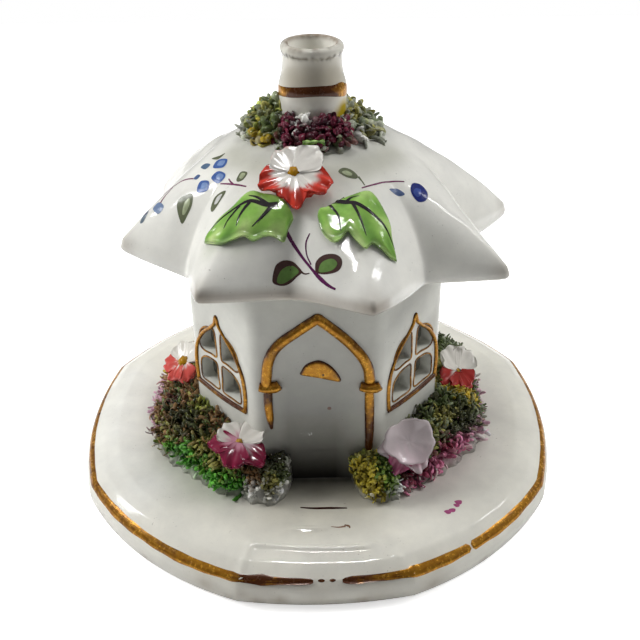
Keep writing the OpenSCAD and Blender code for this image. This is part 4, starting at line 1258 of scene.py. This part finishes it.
def strands(clay, base, heading, side, length, radius, curl, colour):
    """Shreds of clay: short flat ribbons, each curled from its heading towards its side, drawn together."""
    count, rings, sides = len(base), 6, 5
    swell = (0.8, 1.0, 1.1, 1.1, 1.0, 0.72)
    binormal = np.cross(heading, side)
    turn = np.arange(sides) * 2 * np.pi / sides
    points, shade = [], []
    for k in range(rings):
        t = k / (rings - 1)
        bent = curl * t
        middle = base + (length / curl)[:, None] * (np.sin(bent)[:, None] * heading
                                                    + (1 - np.cos(bent))[:, None] * side)
        ahead = np.cos(bent)[:, None] * heading + np.sin(bent)[:, None] * side
        normal = np.cross(binormal, ahead)
        spread = (radius * swell[k])[:, None, None]
        thin = SHRED_THICK * np.cos(turn)[None, :, None] * normal[:, None]
        wide = SHRED_WIDE * np.sin(turn)[None, :, None] * binormal[:, None]
        points.append(middle[:, None] + spread * (thin + wide))
        # Painted shade and light: each shred darker at its root, lighter towards its tip and lightest at the
        # tip itself
        shade.append(np.repeat((colour * (0.72 + 0.36 * t))[:, None], sides, 1))
    tip = middle + ahead * (radius * 0.55)[:, None]
    points = np.concatenate(points + [base[:, None], tip[:, None]], 1)
    shade = np.concatenate(shade + [colour[:, None] * 0.72, np.minimum(colour[:, None] * 1.12, 1)], 1)
    per = rings * sides + 2
    pattern = grid_faces(rings, sides, wrap_columns=True)
    pattern += [((j + 1) % sides, j, per - 2) for j in range(sides)]
    pattern += fan((rings - 1) * sides, sides, per - 1)
    faces = [tuple(i + s * per for i in face) for s in range(count) for face in pattern]
    clay.add(points.reshape(-1, 3), faces, shade.reshape(-1, 3))


def moss_colour(a, t, palette, dabs, seed, rand):
    """Paint of moss at plan angles and turns: patches of the palette's colours, then dabs of the brush."""
    patch = clouds([(p * 0.13, q * 0.04, seed) for p, q in zip(a, t)])
    place = 0.5 + 0.85 * patch + rand.normal(0, 0.09, len(a))
    colour = np.array(palette)[np.clip((place * len(palette)).astype(int), 0, len(palette) - 1)]
    for angle, turn, reach, dab, strength in dabs:
        weight = strength * np.exp(-((a - angle) / reach) ** 2 - ((t - turn) / DAB_TURN) ** 2)
        weight = weight + rand.normal(0, 0.08, len(a))
        colour = blend(colour, dab, np.clip((weight - 0.3) * 4, 0, 1)[:, None])
    return colour


def lump_size(width):
    """How far the lumps of a bank of that width bulge out."""
    return min(1.2, width * 0.13)


def moss_lump(points, width):
    """How far a bank of moss bulges out at points on it."""
    return (clouds(points * 0.42) + 0.5 * clouds(points * 0.9)) * lump_size(width)


def make_moss(name, span, width, height, inner, ground, count, shred, palette, dabs, slot, skirt, nests=(),
              slope=0.9):
    """A bank of shredded clay: a lumpy mound with a pale foot, and curled shreds lying on it. Each dab of
    paint has a plan angle, a turn up the bank, a reach in degrees, a colour and a strength."""
    seed = sum(map(ord, name))
    rand = np.random.default_rng(seed)
    low, high = span
    length, radius = shred
    a = np.linspace(low, high, int((high - low) * 1.4) + 8)
    turns = np.array([0, 8, 18, 30, 43, 56, 69, 81, 90.0])
    rows, shade = [], []
    for t in turns:
        p = bank_points(a, np.full_like(a, t), width * MOUND_W, height * MOUND_H, inner, ground, span, nests,
                        slope)
        lump = moss_lump(p, width)
        middle = polar(inner(a) + width * AXIS_IN, a, ground(inner(a), a))
        out = p - middle
        out /= np.maximum(np.linalg.norm(out, axis=1), 0.5)[:, None]
        p = p + out * lump[:, None]
        if t == 0:
            p += polar(1.0 + 0.9 * clouds(p * 0.35), a, 0)
        p[:, 2] = np.maximum(p[:, 2], ground(np.hypot(p[:, 0], p[:, 1]), a) - (0.3 if t == 0 else -0.1))
        rows.append(p)
        own = moss_colour(a, np.full_like(a, t), palette, dabs, seed, rand)
        # Painted shade: the mound under the shreds is painted darker above its pale foot
        pale = 0.9 * max(0.0, 1 - t / 20)
        shade.append(blend(own, skirt, pale) * (0.6 + 0.4 * pale))
    rows.append(polar(inner(a), a, ground(inner(a), a) - 0.3))
    shade.append(np.tile(skirt, (len(a), 1)))
    n, m = len(a), len(rows)
    clay = Clay()
    clay.add(np.concatenate(rows), grid_faces(m, n, wrap_rows=True) + end_faces(m, n), np.concatenate(shade))
    at = rand.uniform(low + 0.5, high - 0.5, count)
    t = np.degrees(np.arccos(rand.uniform(0.0, 0.99, count)))
    base = bank_points(at, t, width * SHRED_LINE, height * MOUND_H, inner, ground, span, nests, slope)
    back = inner(at) + width * AXIS_IN
    axis = polar(back, at, ground(back, at) + height * 0.05)
    outward = unit(base - axis)
    lump = moss_lump(base, width)
    base += outward * lump[:, None]
    heading = unit(outward * 0.3 + rand.normal(0, 0.6, (count, 3)))
    side = unit(np.cross(heading, np.cross(outward, heading) + rand.normal(0, 0.4, (count, 3))))
    long = rand.uniform(*length, count)
    thick = rand.uniform(*radius, count)
    curl = rand.uniform(0.8, 3.2, count)
    colour = moss_colour(at, t, palette, dabs, seed, rand)
    frost = np.clip((rand.uniform(0, 1, count) - 0.25 - t / 34) * 3, 0, 0.85)[:, None]
    # Painted light and shade over random tone: shreds on lump crests lighter, those in the hollows darker
    light = rand.uniform(0.7, 1.35, count) * (1 + 0.5 * lump / lump_size(width))
    colour = np.clip(blend(colour, skirt, frost) * light[:, None], 0, 1)
    strands(clay, base, heading, side, long, thick, curl, colour)
    clay.make(name + "_shreds", MOSS_CLAY, body_of(name), slot, [name])


def make_all_moss():
    black, forest, olive = tone(66, 68, 40), tone(92, 106, 60), tone(150, 146, 78)
    umber, vivid, lime = tone(138, 106, 68), tone(92, 168, 58), tone(180, 190, 94)
    mauve, pink, wine = tone(222, 176, 196), tone(222, 132, 166), tone(140, 50, 74)
    straw, ash, snow = tone(196, 168, 48), tone(168, 172, 154), tone(232, 231, 224)
    plum, slate = tone(92, 20, 44), tone(128, 138, 108)
    mustard, grass = tone(186, 170, 62), tone(100, 126, 52)

    def wall_side(a):
        return wall_reach(a) + BANK_GAP

    def on_floor(r, a):
        return BASE_H + 0 * r

    def pot_side(a):
        return CHIMNEY_R + SEAT_GAP + 0 * a

    def on_cover(r, a):
        return roof_z(r, a) + 0.05

    long, short, crumb = ((1.8, 4.0), (0.24, 0.42)), ((1.5, 3.0), (0.24, 0.4)), ((0.8, 2.0), (0.28, 0.46))
    chunk, clod = ((1.8, 3.8), (0.4, 0.74)), ((1.4, 3.2), (0.4, 0.76))
    skirt = tone(226, 226, 216)
    banks = (BANK_W, BANK_H, wall_side, on_floor)
    make_moss("hedge_left", (-122, -27), *banks, 2900, long, [black, forest, umber, umber, olive],
              [(-36, 20, 15, vivid, 1.0), (-48, 14, 14, vivid, 0.95), (-40, 50, 12, olive, 0.6),
               (-58, 62, 10, black, 0.7), (-82, 14, 13, mauve, 0.9), (-100, 12, 16, mauve, 1.0),
               (-108, 40, 12, straw, 0.8), (-60, 88, 9, lime, 0.5), (-72, 60, 7, wine, 0.4)], "hedge_moss",
              skirt, [(-92, 15, 0.4), (-31, 8, 0.15)])
    make_moss("hedge_right", (28, 134), *banks, 3000, long, [black, forest, forest, slate, olive],
              [(40, 10, 13, pink, 1.0), (54, 8, 13, pink, 1.0), (36, 34, 8, wine, 0.7),
               (50, 30, 8, wine, 0.5), (68, 8, 12, mauve, 0.8), (80, 62, 10, straw, 0.8),
               (62, 50, 12, black, 0.6), (104, 50, 18, slate, 0.7), (92, 12, 14, mauve, 0.6),
               (44, 60, 8, olive, 0.6)], "hedge_moss", skirt, [(84, 10, 0.25), (36, 9, 0.25)])
    make_moss("hedge_back", (134, 232), *banks, 2700, long, [black, forest, umber, olive, slate],
              [(150, 15, 18, mauve, 0.7), (185, 20, 20, vivid, 0.7), (215, 20, 16, pink, 0.6),
               (180, 70, 20, olive, 0.5)], "hedge_moss", skirt)
    tufts = (TUFT_W, TUFT_H, wall_side, on_floor)
    make_moss("tuft_left", (-27, -11.5), *tufts, 460, crumb, [snow, snow, snow, ash],
              [(-22, 58, 5, umber, 1.0), (-16, 58, 4, forest, 1.0), (-17, 36, 3, olive, 0.7),
               (-19, 82, 7, black, 0.9)], "tuft_moss", snow)
    make_moss("tuft_right", (15, 29.5), *tufts, 460, short, [mustard, mustard, olive, lime],
              [(18, 40, 4, mustard, 0.9), (25, 55, 4, grass, 1.0), (25, 25, 3, grass, 0.8),
               (28.5, 20, 3, snow, 0.9)], "tuft_moss", snow)
    ring = (pot_side, on_cover)
    make_moss("moss_left", (-128, -46), RING_W, RING_H - 1.2, *ring, 380, chunk, [olive, lime, slate, forest],
              [(-58, 24, 12, straw, 0.9), (-80, 60, 14, olive, 0.5), (-52, 50, 6, forest, 0.9),
               (-90, 10, 40, ash, 0.8)], "tuft_moss", skirt, [(-60, 20, 0.4), (-108, 18, 0.2)], RING_SLOPE)
    make_moss("moss_front", (-46, 46), RING_W - 0.6, RING_H - 2.4, *ring, 400, clod,
              [plum, plum, tone(108, 32, 54), tone(74, 20, 40)],
              [(-38, 30, 7, forest, 0.9), (24, 15, 7, forest, 0.8), (-14, 84, 12, snow, 0.9),
               (-30, 6, 14, ash, 0.9), (8, 0, 26, ash, 0.9), (34, 10, 10, slate, 0.8)], "purple_moss", skirt,
              (), RING_SLOPE)
    make_moss("moss_right", (46, 128), RING_W, RING_H - 1.8, *ring, 380, chunk, [slate, ash, olive, ash],
              [(54, 30, 10, snow, 0.7), (70, 70, 12, olive, 0.6), (90, 40, 16, forest, 0.5),
               (80, 6, 40, ash, 0.8)], "tuft_moss", skirt, [(62, 26, 0.55), (112, 32, 0.55)], RING_SLOPE)
    make_moss("moss_back", (133, 226), RING_W, RING_H - 1.6, *ring, 400, chunk, [olive, slate, lime, forest],
              [(170, 40, 16, plum, 0.5)], "tuft_moss", skirt, (), RING_SLOPE)


def dress_kept_solids():
    """The solids that show as they are: the seat of the roof and the pastille."""
    for name, material in (("roof_collar", INNER_GLAZE), ("pastille", PASTE)):
        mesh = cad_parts[name].data
        mesh.materials.clear()
        mesh.materials.append(material)


# Studio

CAMERA_AT = Vector((0.9, -186.8, 148.6)) * MM
CAMERA_ELEVATION, CAMERA_ROLL = 31.7, -0.78
SENSOR = 36.0
# The fitted focal length is 950 pixels of a picture that is 640 wide
CAMERA_LENS = 950 / 640 * SENSOR
# The floor's half side and level in metres, and how much it glows to the camera
FLOOR_HALF, FLOOR_Z, FLOOR_GLOW = 0.4, -0.0001, 0.55
# Lamps: name, place and size in metres, watts, whether gloss shows it and whether it lights what isn't glossy
LAMPS = (("window", (-0.48, 0.06, 0.32), (0.22, 0.26), 2.15, False, True),
         ("side", (0.46, 0.09, 0.33), (0.22, 0.22), 1.45, False, True),
         ("sky", (0.0, 0.16, 0.56), (0.24, 0.2), 0.75, False, True),
         ("left_glint", (-0.42, 0.1, 0.36), (0.05, 0.12), 0.25, True, True),
         ("right_glint", (0.4, 0.1, 0.44), (0.03, 0.14), 0.2, True, True),
         ("ceiling", (0.0, -0.1, 0.6), (0.12, 0.02), 1.0, True, False))
LAMP_AIM = Vector((0, 0, 0.04))
# The soft light's strength near the ground and overhead, and its share from the camera's side and from behind
SKY_LEVELS, DEPTH_SHARES = (0.14, 0.36), (0.3, 1.0)


def make_camera():
    """The camera that was fitted to the photograph."""
    e, roll = math.radians(CAMERA_ELEVATION), math.radians(CAMERA_ROLL)
    ahead = Vector((0, math.cos(e), -math.sin(e)))
    right, up = Vector((1, 0, 0)), Vector((0, math.sin(e), math.cos(e)))
    tilted = math.cos(roll) * right + math.sin(roll) * up
    above = math.cos(roll) * up - math.sin(roll) * right
    turn = Matrix((tilted, above, -ahead)).transposed().to_4x4()
    data = bpy.data.cameras.new("camera")
    data.lens, data.sensor_width, data.clip_start = CAMERA_LENS, SENSOR, 0.005
    camera = link(bpy.data.objects.new("camera", data))
    camera.matrix_world = Matrix.Translation(CAMERA_AT) @ turn
    bpy.context.scene.camera = camera


def make_floor():
    """A plain white floor. To the camera it glows a little, so that it meets the white backdrop and still
    keeps its shadow."""
    mesh = bpy.data.meshes.new("floor")
    corners = [(x * FLOOR_HALF, y * FLOOR_HALF, FLOOR_Z) for x, y in ((-1, -1), (1, -1), (1, 1), (-1, 1))]
    mesh.from_pydata(corners, [], [(0, 1, 2, 3)])
    floor = link(bpy.data.objects.new("floor", mesh))
    s = Shader(bpy.data.materials.new("floor"))
    s.set("Base Color", s.mix(s.noise(400.0), rgba((0.93, 0.93, 0.93)), rgba((0.96, 0.96, 0.96))))
    s.set("Roughness", 0.9)
    s.set("Specular IOR Level", 0.0)
    s.set("Emission Color", (1.0, 1.0, 1.0, 1.0))
    s.set("Emission Strength",
          s.span(s.node("LightPath").outputs["Is Camera Ray"], 0.0, 1.0, 0.0, FLOOR_GLOW))
    mesh.materials.append(s.owner)


def make_lights():
    """Soft light from above and both sides, with little from the camera's side, before a white backdrop."""
    for name, at, size, watts, glints, fills in LAMPS:
        data = bpy.data.lights.new(name, "AREA")
        data.shape, data.size, data.size_y, data.energy = "RECTANGLE", size[0], size[1], watts
        obj = link(bpy.data.objects.new(name, data))
        obj.location = at
        obj.rotation_euler = (LAMP_AIM - Vector(at)).to_track_quat("-Z", "Y").to_euler()
        obj.visible_glossy, obj.visible_diffuse = glints, fills
    world = bpy.data.worlds.new("studio")
    bpy.context.scene.world = world
    s = Shader(world, "Background")
    axes = s.node("SeparateXYZ", {0: s.where["Generated"]}).outputs
    height, depth = s.span(axes["Z"], -0.1, 0.9, *SKY_LEVELS), s.span(axes["Y"], -0.9, 0.3, *DEPTH_SHARES)
    soft = s.math("MULTIPLY", height, depth)
    path = s.node("LightPath").outputs
    seen = s.math("MAXIMUM", path["Is Camera Ray"], path["Is Transmission Ray"])
    s.set("Color", (1, 1, 1, 1))
    s.set("Strength", s.node("Mix", {0: seen, 2: soft, 3: 1.0}).outputs[0])


make_camera()
make_floor_paint(make_plate())
make_plate_gilding()
make_walls()
make_door()
make_window_gilding()
make_roof_paint(make_roof())
make_chimney()
for leaf_name, shape in LEAVES.items():
    make_leaf(leaf_name, *shape)
make_flowers()
make_all_moss()
dress_kept_solids()
make_floor()
make_lights()

bpy.context.scene.view_settings.view_transform = "Standard"
